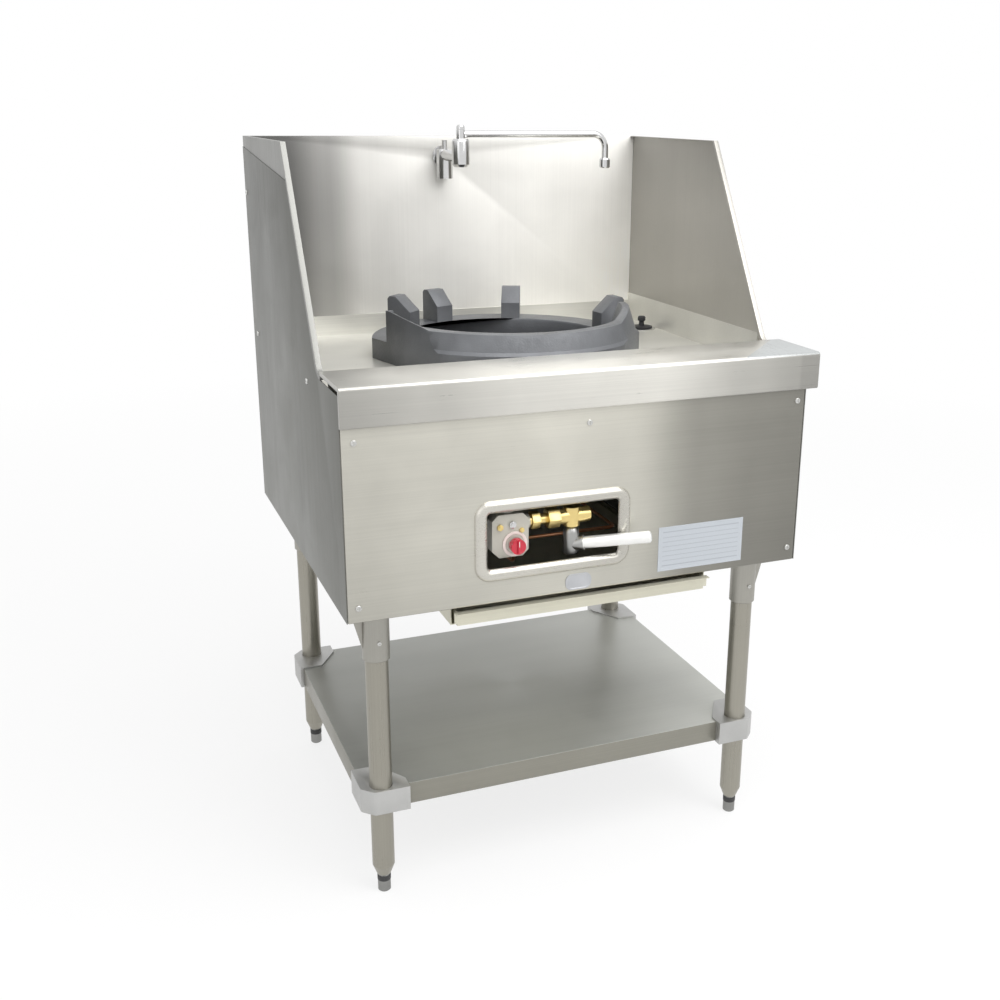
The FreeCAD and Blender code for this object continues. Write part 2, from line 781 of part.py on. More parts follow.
def build_burner():
    """Burner drum under the worktop, and the ring burner with its mixing tube and bracket."""
    chamber = Piece("burner_chamber")
    radius = chamber_radius
    underside = floor_top - d.plate_thick
    bottom = floor_top - d.chamber_depth
    thick = 2
    chamber.turned((60, bottom), (radius, bottom), (radius, underside - thick),
                   (radius + 25, underside - thick), (radius + 25, underside),
                   (radius - thick, underside), (radius - thick, bottom + thick),
                   (60, bottom + thick))
    chamber.cut_z(bottom - 1, bottom + thick + 1, disc(pilot_x, 0, 5))
    chamber.place(0, -d.ring_setback)

    head = Piece("burner_head")
    disc_low = bottom + 45
    disc_top = disc_low + 20
    neck_low = d.gas_height + 27
    head_radius = d.burner_radius
    head.turned((0, neck_low), (25, neck_low), (25, disc_low - 8), (head_radius - 14, disc_low),
                (head_radius, disc_low + 6), (head_radius, disc_top - 3),
                (head_radius - 4, disc_top), (0, disc_top))
    outer_jet = head.block_z(disc_top, disc_top + 16, disc(head_radius - 18, 0, 5))
    head.repeat_round(outer_jet, 14)
    inner_jet = head.block_z(disc_top, disc_top + 16, disc(head_radius / 2 - 6, 0, 5))
    head.repeat_round(inner_jet, 7)
    head.place(0, -d.ring_setback)

    tube = Piece("mixing_tube")
    tube.turned((0, -26), (24, -26), (24, 90), (17, 160), (17, 180), (30, 222), (27, 222),
                (13, 180), (13, 160), (20, 90), (20, -22), (0, -22))
    tube.place(0, -d.ring_setback, d.gas_height, Rotation(Vector(1, 0, 0), 90))

    boss = tube.block_y(0, 27, disc(0, 0, 25))
    tube.cut_y(18, 28, disc(0, 0, 20))

    bracket = Piece("burner_bracket")
    foot_low = frame_low + frame_thick
    foot_x = runner_x + 9
    saddle = d.gas_height - 24
    bar = saddle - 22
    bracket.block_y(-410, -388, polygon(
        (-foot_x - 12, foot_low), (-foot_x + 9, foot_low), (-foot_x + 9, foot_low + 3),
        (-foot_x + 3, foot_low + 3), (-foot_x + 3, bar - 3), (foot_x - 3, bar - 3),
        (foot_x - 3, foot_low + 3), (foot_x - 9, foot_low + 3), (foot_x - 9, foot_low),
        (foot_x + 12, foot_low), (foot_x + 12, foot_low + 3), (foot_x, foot_low + 3),
        (foot_x, bar), (10, bar), (10, saddle), (-10, saddle), (-10, bar),
        (-foot_x, bar), (-foot_x, foot_low + 3), (-foot_x - 12, foot_low + 3)))
    bracket.place()

    pilot = Piece("pilot_burner")
    pilot.turned((0, bottom - 12), (4, bottom - 12), (4, disc_top + 4), (7, disc_top + 6),
                 (7, disc_top + 18), (0, disc_top + 18))
    pilot.place(pilot_x, -d.ring_setback)


pilot_x = 110
build_wok_ring()
build_burner()


# ---------------------------------------------------------------- gas train behind the window

valve_x = -d.valve_offset
pilot_body_x = -130
pilot_body_front = valve_y - 14
pilot_body_back = valve_y + 30
knob_x = -122
knob_z = 622
lever_z = 604
LEVER_HEADING = -32
LEVER_TILT = 9


def build_gas_train():
    """Gas pipe, flame-failure valve, brass nipple, lever valve and the jet pipe to the burner."""
    gas = d.gas_height
    pipe = Piece("gas_inlet_pipe")
    radius = d.gas_pipe_radius
    bore_radius = radius - 3
    pipe.block_y(pilot_body_back, 3, disc(gas_pipe_x, gas_pipe_z, radius - 1.4),
                 disc(gas_pipe_x, gas_pipe_z, bore_radius))
    pipe.block_y(3, d.gas_stub, disc(gas_pipe_x, gas_pipe_z, radius),
                 disc(gas_pipe_x, gas_pipe_z, bore_radius))
    pipe.place()

    body = Piece("flame_valve_body")
    body.block_y(pilot_body_front, pilot_body_back,
                 polygon((-160, 612), (-148, 600), (-108, 600), (-98, 610), (-98, 662),
                         (-108, 672), (-150, 672), (-160, 662)))
    body.block_y(pilot_body_front - 3, pilot_body_front, disc(knob_x, knob_z, 15.5))
    body.block_z(672, 678, disc(-130, valve_y + 6, 13))
    body.block_x(-100, -94, disc(valve_y, gas, 12))
    body.cut_y(pilot_body_front - 4, pilot_body_front + 16, disc(knob_x, knob_z, 4.06))
    body.place()

    spindle = Piece("pilot_spindle")
    knob_back = pilot_body_front - 3 - 4.5
    spindle.block_y(knob_back - 6, pilot_body_front + 10, disc(knob_x, knob_z, 4))
    spindle.place()

    knob = Piece("pilot_knob")
    grip = knob_back - d.knob_length
    knob.block_y(grip, knob_back, disc(knob_x, knob_z, d.knob_radius))
    knob.cut_y(knob_back - 6.3, knob_back + 1, disc(knob_x, knob_z, 4.05))
    knob.block_y(grip - 3, grip, rectangle(knob_x - 3, knob_z - d.knob_radius + 1,
                                           knob_x + 3, knob_z + d.knob_radius - 1))
    knob.place()

    nipple = Piece("brass_nipple")
    nipple.block_x(-94, -62, disc(valve_y, gas, 9))
    hexagon_points = [(valve_y + 15 * math.cos(math.radians(60 * index)),
                       gas + 15 * math.sin(math.radians(60 * index))) for index in range(6)]
    nipple.block_x(-90, -76, polygon(*hexagon_points))
    nipple.place()

    valve = Piece("main_valve_body")
    valve.block_x(-62, 12, disc(valve_y, gas, 13))
    hexagon_points = [(valve_y + 17 * math.cos(math.radians(60 * index)),
                       gas + 17 * math.sin(math.radians(60 * index))) for index in range(6)]
    valve.block_x(-62, -42, polygon(*hexagon_points))
    valve.block_z(637, 669, disc(valve_x, valve_y, 14))
    valve.block_y(valve_y, valve_y + 32, disc(0, gas, 11))
    valve.block_z(592, 637, disc(valve_x, valve_y, 6))
    valve.place()

    hub = Piece("lever_hub")
    hub.turned((0, 588), (11, 588), (13, 590), (13, 626), (11, 631), (8.5, 634), (6.06, 634.5),
               (6.06, 591.5), (0, 591.5))
    hub.place(valve_x, valve_y)

    shift = Vector(origin_x.number, origin_y.number, 0)
    grip = d.lever_radius.number
    length = d.lever_length.number
    outline = [Vector(radius, 0, along) for radius, along in (
        (0, 0), (12.5, 0), (12.5, 22), (grip, 22), (grip, length - 4.5), (grip * 0.92, length - 2),
        (grip * 0.7, length - 0.5), (0, length), (0, 0))]
    handle = Part.Face(Part.makePolygon(outline)).revolve(Vector(0, 0, 0), Vector(0, 0, 1), 360)
    handle.Placement = Placement(
        Vector(valve_x.number, valve_y.number, lever_z),
        Rotation(Vector(0, 0, 1), LEVER_HEADING).multiply(Rotation(Vector(0, 1, 0),
                                                                  90 - LEVER_TILT)))
    hub_body = Part.makeCylinder(13, 60, Vector(valve_x.number, valve_y.number, 575))
    lever = shape_part("lever_handle", max(handle.cut(hub_body).Solids, key=lambda s: s.Volume))
    lever.Placement = Placement(shift, Rotation())

    jet = Piece("injector_pipe")
    jet.block_y(valve_y + 32, -590, disc(0, gas, 8))
    jet.block_y(-590, -574, disc(0, gas, 5))
    jet.place()

    y_valve = valve_y.number
    tube_level = 585
    pilot_end = d.worktop_height.number - d.well_sink.number - d.chamber_depth.number - 12
    run = [(-118, y_valve, 600), (-118, y_valve, tube_level), (-118, -585, tube_level),
           (pilot_x, -585, tube_level), (pilot_x, -d.ring_setback.number, tube_level),
           (pilot_x, -d.ring_setback.number, pilot_end)]
    pilot_tube = shape_part("pilot_tube", bent_rod(run, 3, 12))
    pilot_tube.Placement = Placement(shift, Rotation())


build_gas_train()


# ---------------------------------------------------------------- tap and water pipe

def build_tap():
    """Wall tap whose spout swings on a spigot, fed by a pipe inside the splashback."""
    x = -d.tap_offset
    wall = -d.service_gap
    level = d.tap_height
    pipe = Piece("water_pipe")
    thread_top = d.cabinet_bottom
    pipe.block_z(thread_top - 30, thread_top, disc(0, 0, d.water_pipe_radius))
    pipe.block_z(thread_top, level + 12, disc(0, 0, d.water_pipe_radius - 0.6))
    pipe.block_y(wall + 18, 0, disc(0, level, 9))
    pipe.place(x, -18)

    inlet = Piece("tap_inlet")
    stand_y = wall - 20
    inlet.block_y(wall - 4, wall, disc(x, level, 19))
    inlet.block_y(stand_y, wall - 4, disc(x, level, 10))
    inlet.block_z(level - 42, level + 13, disc(x, stand_y, 15.5))
    body_y = -d.tap_reach
    inlet.block_y(body_y + 17, stand_y, disc(x, level + 3, 11))
    inlet.cut_z(level + 4, level + 14, disc(x, stand_y, 5.06))
    inlet.place()

    stop = Piece("stop_spindle")
    stop.block_z(level + 4.3, level + 30, disc(0, 0, 5))
    stop.place(x, stand_y)

    body = Piece("tap_body")
    body_low, body_top = level - 16, level + 35
    body.turned((0, body_low), (12, body_low), (16.5, body_low + 5), (16.5, body_top - 4),
                (14, body_top), (5, body_top), (5, body_top + 17), (0, body_top + 17))
    body.block_y(0, 17, disc(0, level + 3, 11))
    body.place(x, body_y)

    nut = Piece("tap_cap_nut")
    nut_low = body_top + 17
    nut.turned((0, nut_low), (8, nut_low), (8, nut_low + 5), (5.5, nut_low + 8), (0, nut_low + 8))
    nut.place(x, body_y)

    spout_z = body_top + 8.5
    end_x = x + d.spout_length
    hub = Part.makeCylinder(8.5, 16.4, Vector(x.number, body_y.number, body_top.number + 0.3))
    run = [(x.number, body_y.number, spout_z.number), (end_x.number, body_y.number, spout_z.number),
           (end_x.number, body_y.number, spout_z.number - d.spout_drop.number)]
    arm = bent_rod(run, d.spout_radius.number, 26)
    bore_tool = Part.makeCylinder(5.06, 30, Vector(x.number, body_y.number, body_top.number - 1))
    spout = shape_part("tap_spout", hub.fuse(arm).cut(bore_tool).removeSplitter())
    spout.Placement = Placement(Vector(origin_x.number, origin_y.number, 0), Rotation())

    nozzle = Piece("spout_nozzle")
    nozzle_top = spout_z - d.spout_drop
    nozzle.turned((0, nozzle_top - 19), (9, nozzle_top - 19), (10.5, nozzle_top - 17),
                  (10.5, nozzle_top - 3), (8.5, nozzle_top), (0, nozzle_top))
    nozzle.place(end_x, body_y)


def build_waste():
    """Waste outlet in the rear right corner of the well, with its lift-out plug."""
    outlet = Piece("waste_outlet")
    bottom = floor_top - 70
    neck = d.waste_radius - 0.75
    under = floor_top - d.plate_thick
    outlet.turned((18.6, bottom), (d.waste_radius, bottom), (d.waste_radius, bottom + 56),
                  (neck, bottom + 56), (neck, under - 6.5), (27, under - 6.5), (27, under),
                  (neck, under), (neck, floor_top), (29, floor_top), (29, floor_top + 1),
                  (24, floor_top + 1.8), (18.6, floor_top + 1.8))
    outlet.place(waste_x, waste_y)
    plug = Piece("waste_plug")
    seat = floor_top + 2.1
    plug.turned((0, seat - 10), (16.5, seat - 10), (18.2, seat), (22, seat), (22, seat + 2.5),
                (6, seat + 4), (5, seat + 12), (8, seat + 15), (8, seat + 21), (6, seat + 23),
                (0, seat + 23))
    plug.place(waste_x, waste_y)


build_tap()
build_waste()


# ---------------------------------------------------------------- drip tray, plates and screws

def build_tray():
    """Slide-out drip tray on two folded runners under the cabinet."""
    runner_thick = 1.5
    foot = 28
    half = d.tray_width / 2
    tray_low = d.cabinet_bottom - d.tray_drop - d.tray_height
    tray_top = d.cabinet_bottom - d.tray_drop
    front = front_face + 4
    rear = -70
    thick = d.sheet_thick
    tray = Piece("drip_tray")
    tray.block_z(tray_low, tray_top, rectangle(-half, front, half, rear))
    tray.cut_z(tray_low + thick, tray_top + 1,
               rectangle(thick - half, front + thick, half - thick, rear - thick))
    tray.block_y(front - 2, front, rectangle(-half - 5, tray_low + 5, half + 5, tray_top))
    tray.block_y(front - 12, front - 2,
                 rectangle(-half - 5, tray_top - thick, half + 5, tray_top))
    tray.place()

    runners = []
    for name, side in (("runner_left", -1), ("runner_right", 1)):
        runner = doc.addObject("PartDesign::Body", name)
        piece = Piece.__new__(Piece)
        piece.body = runner
        piece.features = 0
        wall_x = runner_x
        outer = wall_x + runner_thick
        foot_top = tray_low - d.fit_gap
        foot_low = foot_top - runner_thick
        ceiling = frame_low
        points = [(wall_x - foot, foot_low), (outer, foot_low), (outer, ceiling),
                  (wall_x - 6 + runner_thick, ceiling), (wall_x - 6 + runner_thick, ceiling - 1.5),
                  (wall_x, ceiling - 1.5), (wall_x, foot_top), (wall_x - foot, foot_top)]
        piece.block_y(front + 12, rear + 10, polygon(*[(px * side, pz) for px, pz in points]))
        runners.append(runner)
    compound = group("tray_runners", runners)
    place(compound)


def build_plates():
    """Bare data plate and small bare badge on the front panel."""
    plate = Piece("data_plate")
    plate.block_y(front_face - 0.6, front_face, rectangle(130, 543, 291, 621))
    plate.place()
    badge = Piece("badge_plate")
    badge.block_y(front_face - 1.2, front_face, rectangle(-38, 533, 8, 561))
    badge.round_edges(12, [(x, front_face - 0.6, z) for x in (-38, 8) for z in (533, 561)])
    badge.place()


def screw(name, x, y, z, axis, angle, radius=5):
    """One domed screw head standing on a sheet."""
    head = doc.addObject("Part::Cone", name)
    head.Radius1 = radius
    head.Radius2 = radius * 0.66
    head.setExpression("Height", d.screw_head.formula)
    head.Placement = Placement(Vector(0, 0, 0), Rotation(axis, angle))
    for coordinate, value in zip("xyz", (x, y, z)):
        head.setExpression(f"Placement.Base.{coordinate}", as_size(value).formula)
    return head


def build_screws():
    """Panel screws on the front and the sides, and the grub screws of the leg sockets."""
    heads = []
    front_places = ((-379, 815), (0, 813), (384, 817), (-381, 554), (384, 554))
    for index, (x, z) in enumerate(front_places):
        heads.append(screw(f"front_screw_{index}", x, front_face, z, Vector(1, 0, 0), 90))
    side_places = ((-15, 1127), (-45, 865), (-498, 865))
    for index, (y, z) in enumerate(side_places):
        for side, turn in ((-1, -90), (1, 90)):
            heads.append(screw(f"side_screw_{index}_{'l' if side < 0 else 'r'}",
                               half_width * side, y, z, Vector(0, 1, 0), turn))
    place(group("panel_screws", heads))

    grubs = []
    outer = bore + d.socket_wall
    for index, (name, side, end) in enumerate(CORNERS):
        y = (leg_front_y if end < 0 else leg_rear_y) + outer * end
        turn = 90 if end < 0 else -90
        grubs.append(screw(f"grub_{name}", leg_x * side, y, 470, Vector(1, 0, 0), turn, 3.5))
    place(group("socket_screws", grubs))


build_tray()
build_plates()
build_screws()


# ---------------------------------------------------------------- checks and export

def check_all():
    """Stop if any object failed or any sub-part is not a closed, valid solid."""
    for thing in doc.Objects:
        if "Invalid" in thing.State or "Error" in thing.State:
            raise ValueError(f"{thing.Label} failed: {thing.State}")
    for part in parts:
        shape = part.Shape
        if shape.isNull() or not shape.isValid() or not shape.Solids:
            raise ValueError(f"{part.Label} is not a valid solid")
        if any(solid.Volume <= 0 for solid in shape.Solids):
            raise ValueError(f"{part.Label} has a solid of no volume")


def export():
    os.makedirs("parts", exist_ok=True)
    box = FreeCAD.BoundBox()
    for part in parts:
        part.Shape.exportStep(f"parts/{part.Label}.step")
        box.add(part.Shape.BoundBox)
    print("sub-parts", len(parts))
    print("origin shift", round(origin_x.number, 4), round(origin_y.number, 4))
    print("box", [round(value, 3) for value in (box.XMin, box.YMin, box.ZMin,
                                                box.XMax, box.YMax, box.ZMax)])


doc.recompute()
check_all()
export()
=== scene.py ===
import math

import bpy
from mathutils import Matrix, Vector


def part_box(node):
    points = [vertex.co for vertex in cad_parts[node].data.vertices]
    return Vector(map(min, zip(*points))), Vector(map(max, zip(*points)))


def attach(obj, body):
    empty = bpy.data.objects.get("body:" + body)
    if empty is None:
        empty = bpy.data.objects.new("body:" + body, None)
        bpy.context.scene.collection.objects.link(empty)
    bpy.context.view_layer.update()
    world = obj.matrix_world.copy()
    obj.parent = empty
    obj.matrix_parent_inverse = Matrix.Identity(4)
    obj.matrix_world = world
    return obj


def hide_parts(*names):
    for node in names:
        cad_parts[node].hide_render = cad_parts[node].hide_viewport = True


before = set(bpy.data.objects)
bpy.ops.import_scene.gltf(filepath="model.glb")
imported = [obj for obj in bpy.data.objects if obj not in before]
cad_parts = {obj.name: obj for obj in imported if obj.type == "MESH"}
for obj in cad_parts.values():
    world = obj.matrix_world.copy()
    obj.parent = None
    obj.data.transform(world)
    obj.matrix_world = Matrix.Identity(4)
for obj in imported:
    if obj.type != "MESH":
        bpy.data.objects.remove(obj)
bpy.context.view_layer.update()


# ------------------------------------------------------------------ cabinet sides and back
# Two side skins and a rear sheet of 1.2 mm stainless, brushed along their length and screwed to
# the frame. The brushing is fine scratches with slow bands of darker and lighter polish.

def new_material(name):
    material = bpy.data.materials.new(name)
    material.use_nodes = True
    return material, material.node_tree.nodes, material.node_tree.links


def brushed_steel(name, colour, grain, roughness=0.34, light_shade_ramps=(), patch=0.10, scratch=0.03,
                  metallic=0.9, stretch_gloss=0.35):
    """Brushed sheet: grain is the axis the belt ran along; the axis ramps paint light and shade on the
    sheet as slow changes of tone.
    """
    material, nodes, links = new_material(name)
    shader = nodes["Principled BSDF"]
    shader.inputs["Metallic"].default_value = metallic
    shader.inputs["Anisotropic"].default_value = stretch_gloss
    place = nodes.new("ShaderNodeTexCoord")

    stretch = nodes.new("ShaderNodeMapping")
    stretch.inputs["Scale"].default_value = [2.0 if axis == grain else 420.0 for axis in "XYZ"]
    links.new(place.outputs["Object"], stretch.inputs["Vector"])
    scratches = nodes.new("ShaderNodeTexNoise")
    scratches.inputs["Scale"].default_value = 1.0
    scratches.inputs["Detail"].default_value = 5.0
    scratches.inputs["Roughness"].default_value = 0.65
    links.new(stretch.outputs["Vector"], scratches.inputs["Vector"])

    bands = nodes.new("ShaderNodeMapping")
    bands.inputs["Scale"].default_value = [0.7 if axis == grain else 5.0 for axis in "XYZ"]
    links.new(place.outputs["Object"], bands.inputs["Vector"])
    polish = nodes.new("ShaderNodeTexNoise")
    polish.inputs["Scale"].default_value = 1.0
    polish.inputs["Detail"].default_value = 3.0
    links.new(bands.outputs["Vector"], polish.inputs["Vector"])

    smears = nodes.new("ShaderNodeTexNoise")
    smears.inputs["Scale"].default_value = 9.0
    smears.inputs["Detail"].default_value = 6.0
    smears.inputs["Distortion"].default_value = 0.6
    links.new(place.outputs["Object"], smears.inputs["Vector"])

    def spread(source, low, high):
        fit = nodes.new("ShaderNodeMapRange")
        fit.inputs["From Min"].default_value = 0.3
        fit.inputs["From Max"].default_value = 0.7
        fit.inputs["To Min"].default_value = low
        fit.inputs["To Max"].default_value = high
        links.new(source, fit.inputs["Value"])
        return fit.outputs["Result"]

    def times(first, second):
        product = nodes.new("ShaderNodeMath")
        product.operation = "MULTIPLY"
        links.new(first, product.inputs[0])
        links.new(second, product.inputs[1])
        return product.outputs["Value"]

    tone = times(spread(polish.outputs["Fac"], 1 - patch, 1 + patch * 0.6),
                 spread(scratches.outputs["Fac"], 1 - scratch * 2, 1 + scratch))
    tone = times(tone, spread(smears.outputs["Fac"], 0.96, 1.03))
    # Painted light and shade: each ramp darkens or lightens the sheet along one axis.
    for axis, stops in light_shade_ramps:
        split = nodes.new("ShaderNodeSeparateXYZ")
        links.new(place.outputs["Object"], split.inputs["Vector"])
        low, high = stops[0][0], stops[-1][0]
        run = nodes.new("ShaderNodeMapRange")
        run.inputs["From Min"].default_value = low
        run.inputs["From Max"].default_value = high
        links.new(split.outputs[axis], run.inputs["Value"])
        ramp = nodes.new("ShaderNodeValToRGB")
        ramp.color_ramp.interpolation = "EASE"
        elements = ramp.color_ramp.elements
        while len(elements) < len(stops):
            elements.new(0.5)
        for element, (where, level) in zip(elements, stops):
            element.position = (where - low) / (high - low)
            element.color = (level, level, level, 1)
        links.new(run.outputs["Result"], ramp.inputs["Fac"])
        tone = times(tone, ramp.outputs["Color"])
    tint = nodes.new("ShaderNodeVectorMath")
    tint.operation = "SCALE"
    tint.inputs[0].default_value = colour
    links.new(tone, tint.inputs["Scale"])
    links.new(tint.outputs["Vector"], shader.inputs["Base Color"])

    rough = nodes.new("ShaderNodeMath")
    rough.operation = "ADD"
    links.new(spread(scratches.outputs["Fac"], roughness - 0.05, roughness + 0.07), rough.inputs[0])
    links.new(spread(smears.outputs["Fac"], -0.03, 0.06), rough.inputs[1])
    links.new(rough.outputs["Value"], shader.inputs["Roughness"])

    bump = nodes.new("ShaderNodeBump")
    bump.inputs["Strength"].default_value = 0.12
    bump.inputs["Distance"].default_value = 0.0004
    links.new(scratches.outputs["Fac"], bump.inputs["Height"])
    links.new(bump.outputs["Normal"], shader.inputs["Normal"])
    return material


def coat(piece, material):
    piece.data.materials.clear()
    piece.data.materials.append(material)


def finish_node(name, material):
    """Give a CAD piece its material."""
    coat(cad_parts[name], material)


def activate(piece):
    """Leave edit mode and select this piece alone."""
    if bpy.context.object and bpy.context.object.mode == "EDIT":
        bpy.ops.object.mode_set(mode="OBJECT")
    bpy.ops.object.select_all(action="DESELECT")
    bpy.context.view_layer.objects.active = piece
    piece.select_set(True)


def merged_copy(node, name):
    """A copy of a CAD piece whose loose triangles are joined into whole faces."""
    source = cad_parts[node]
    piece = source.copy()
    piece.data = source.data.copy()
    piece.name = name
    bpy.context.scene.collection.objects.link(piece)
    piece.parent = None
    piece.matrix_world.identity()
    activate(piece)
    bpy.ops.mesh.customdata_custom_splitnormals_clear()
    bpy.ops.object.mode_set(mode="EDIT")
    bpy.ops.mesh.select_all(action="SELECT")
    bpy.ops.mesh.remove_doubles(threshold=0.00001)
    bpy.ops.mesh.dissolve_limited(angle_limit=math.radians(1.0))
    bpy.ops.object.mode_set(mode="OBJECT")
    return piece


def round_off(piece, width, segments=3, angle=32.0):
    """Round every edge that turns more than the angle, then shade the gentle ones smooth."""
    rounding = piece.modifiers.new("rounded_edges", "BEVEL")
    rounding.width = width
    rounding.segments = segments
    rounding.limit_method = "ANGLE"
    rounding.angle_limit = math.radians(angle)
    rounding.use_clamp_overlap = True
    activate(piece)
    bpy.ops.object.modifier_apply(modifier="rounded_edges")
    bpy.ops.object.shade_smooth_by_angle(angle=math.radians(30))


def hang(piece, body, slot, *nodes):
    """Say which body a new piece moves with and the CAD pieces it stands for; its slot is not used."""
    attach(piece, body)
    if nodes:
        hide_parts(*nodes)


def soften(node, body, slot, width, material, segments=3):
    """A copy of a CAD piece with its edges rounded as the press or mould leaves them."""
    piece = merged_copy(node, f"{node}_finished")
    round_off(piece, width, segments)
    coat(piece, material)
    hang(piece, body, slot, node)
    return piece


# The left skin is a darker copy of the side steel, and it darkens further towards its top: both are
# painted shade.
side_left_shaded_steel = brushed_steel("side_left_shaded_steel", (0.190, 0.191, 0.176), "Z", 0.38, metallic=0.7,
                                light_shade_ramps=[("Z", [(0.5, 1.06), (0.75, 0.95), (1.23, 0.71)])])
side_right_steel = brushed_steel("side_right_steel", (0.34, 0.335, 0.315), "Z", 0.38, metallic=0.7)
rear_steel = brushed_steel("rear_steel", (0.40, 0.40, 0.38), "Z", 0.42, metallic=0.7)
soften("side_panel_left", "cabinet", "side_steel", 0.0004, side_left_shaded_steel, 2)
soften("side_panel_right", "cabinet", "side_steel", 0.0004, side_right_steel, 2)
finish_node("rear_panel", rear_steel)


# ------------------------------------------------------------------ splashback and wings
# The splashback skin is one folded sheet, brushed upright; the wings close its sides, and their
# front edges carry a polished hem that runs down to the worktop in one sweep.

# The splashback's near-white colour is painted light; its steep darkening towards the left is painted
# shade, and it is painted lighter low down and darker towards its top.
splash_lit_and_shaded_steel = brushed_steel("splash_lit_and_shaded_steel", (0.97, 0.955, 0.91), "Z", 0.42, metallic=0.25,
                             patch=0.05, scratch=0.018, stretch_gloss=0.0,
                             light_shade_ramps=[("X", [(-0.40, 0.10), (-0.34, 0.12), (-0.26, 0.33), (-0.18, 0.66),
                                           (-0.05, 0.78), (0.15, 0.90), (0.40, 1.02)]),
                                    ("Z", [(0.88, 1.1), (0.98, 1.07), (1.12, 0.92), (1.23, 0.82)])])
# The left wing is a darker copy of the wing steel: painted shade.
wing_left_shaded_steel = brushed_steel("wing_left_shaded_steel", (0.24, 0.24, 0.226), "Z", 0.36, metallic=0.6)
# The right wing darkens towards its top: painted shade.
wing_right_steel = brushed_steel("wing_right_steel", (0.45, 0.435, 0.40), "Z", 0.34, metallic=0.5,
                                 patch=0.06, light_shade_ramps=[("Z", [(0.88, 1.06), (1.08, 0.97), (1.22, 0.75)])])
soften("splashback", "cabinet", "brushed_steel", 0.0004, splash_lit_and_shaded_steel, 2)
soften("wing_left", "cabinet", "brushed_steel", 0.0009, wing_left_shaded_steel)
soften("wing_right", "cabinet", "brushed_steel", 0.0009, wing_right_steel)


# ------------------------------------------------------------------ worktop well and front rail
# Thicker sheet, pressed and welded: the sunken floor with its upstands, and the deep front rail
# that is folded from one strip and brushed along it. Its right corner is a mitre, brushed the
# other way.

well_steel = brushed_steel("well_steel", (0.72, 0.71, 0.66), "X", 0.34, metallic=0.5)
# The rail is painted light in its middle and darker towards both ends, and its front face darker than
# its deck: painted light and shade.
rail_steel = brushed_steel("rail_steel", (0.80, 0.785, 0.73), "X", 0.31, metallic=0.65, patch=0.06,
                           light_shade_ramps=[("X", [(-0.41, 0.62), (-0.28, 0.78), (-0.1, 1.05), (0.1, 1.15),
                                         (0.28, 0.74), (0.37, 0.61), (0.376, 0.53), (0.41, 0.52)]),
                                  ("Z", [(0.838, 0.74), (0.893, 0.77), (0.899, 0.95)])])
corner_steel = brushed_steel("corner_steel", (0.45, 0.47, 0.47), "Y", 0.30, metallic=0.6, patch=0.05)
rail_low, rail_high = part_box("front_rail")
mitre_length, deck_band = 0.143, 0.004
mitre_start = Vector((rail_high.x - mitre_length, rail_low.y, 0))
mitre_across = Vector((1, -1, 0)).normalized()
finish_node("worktop_well", well_steel)
front_rail = soften("front_rail", "cabinet", "brushed_steel", 0.0009, rail_steel)
activate(front_rail)
front_rail.data.materials.append(corner_steel)
bpy.ops.object.mode_set(mode="EDIT")
bpy.ops.mesh.select_all(action="SELECT")
bpy.ops.mesh.bisect(plane_co=mitre_start, plane_no=mitre_across)
bpy.ops.object.mode_set(mode="OBJECT")
for face in front_rail.data.polygons:
    beyond = (face.center - mitre_start).dot(mitre_across) > 0
    if beyond and face.center.z > rail_high.z - deck_band and face.normal.z > 0.35:
        face.material_index = 1


# ------------------------------------------------------------------ front cover panel
# One pan of brushed sheet with small radii at its sides, held by five screws; the pressed
# surround of its control window is a half-round bead with soft corners.

# The cover is painted lighter left of its middle and much darker towards the right, and darker low
# down; the window surround darkens to the right too: painted light and shade.
panel_steel = brushed_steel("panel_steel", (0.62, 0.605, 0.54), "X", 0.34, metallic=0.8, patch=0.07,
                            light_shade_ramps=[("X", [(-0.41, 0.92), (-0.25, 1.0), (-0.06, 1.12), (0.06, 1.03),
                                          (0.2, 0.54), (0.3, 0.455), (0.41, 0.41)]),
                                   ("Z", [(0.53, 0.84), (0.70, 0.91), (0.85, 0.93)])])
surround_steel = brushed_steel("surround_steel", (0.59, 0.572, 0.52), "X", 0.27, metallic=0.8,
                               light_shade_ramps=[("X", [(-0.2, 1.0), (0.1, 0.9)])], patch=0.05)
soften("front_panel", "cabinet", "brushed_steel", 0.0005, panel_steel, 2)
finish_node("window_frame", surround_steel)


# ------------------------------------------------------------------ panel screws
# Stainless pan-head screws with a cross recess, five in the front cover and three in each side.

def solids_of(node):
    """Lowest and highest corner of each separate solid in a CAD piece."""
    merged_copy(node, "parting")
    bpy.ops.object.mode_set(mode="EDIT")
    bpy.ops.mesh.select_all(action="SELECT")
    bpy.ops.mesh.separate(type="LOOSE")
    bpy.ops.object.mode_set(mode="OBJECT")
    boxes = []
    for part in list(bpy.context.selected_objects):
        points = [vertex.co for vertex in part.data.vertices]
        boxes.append([Vector([pick(point[axis] for point in points) for axis in range(3)])
                      for pick in (min, max)])
        bpy.data.objects.remove(part)
    return boxes


def seat_of(low, high):
    """Foot and outward direction of a flat thing on one of the range's upright faces."""
    middle = (low + high) / 2
    thin = min(range(3), key=lambda axis: (high - low)[axis])
    way = Vector((0, 0, 0))
    way[thin] = 1 if middle[thin] > 0 else -1
    middle[thin] = low[thin] if way[thin] > 0 else high[thin]
    return middle, way


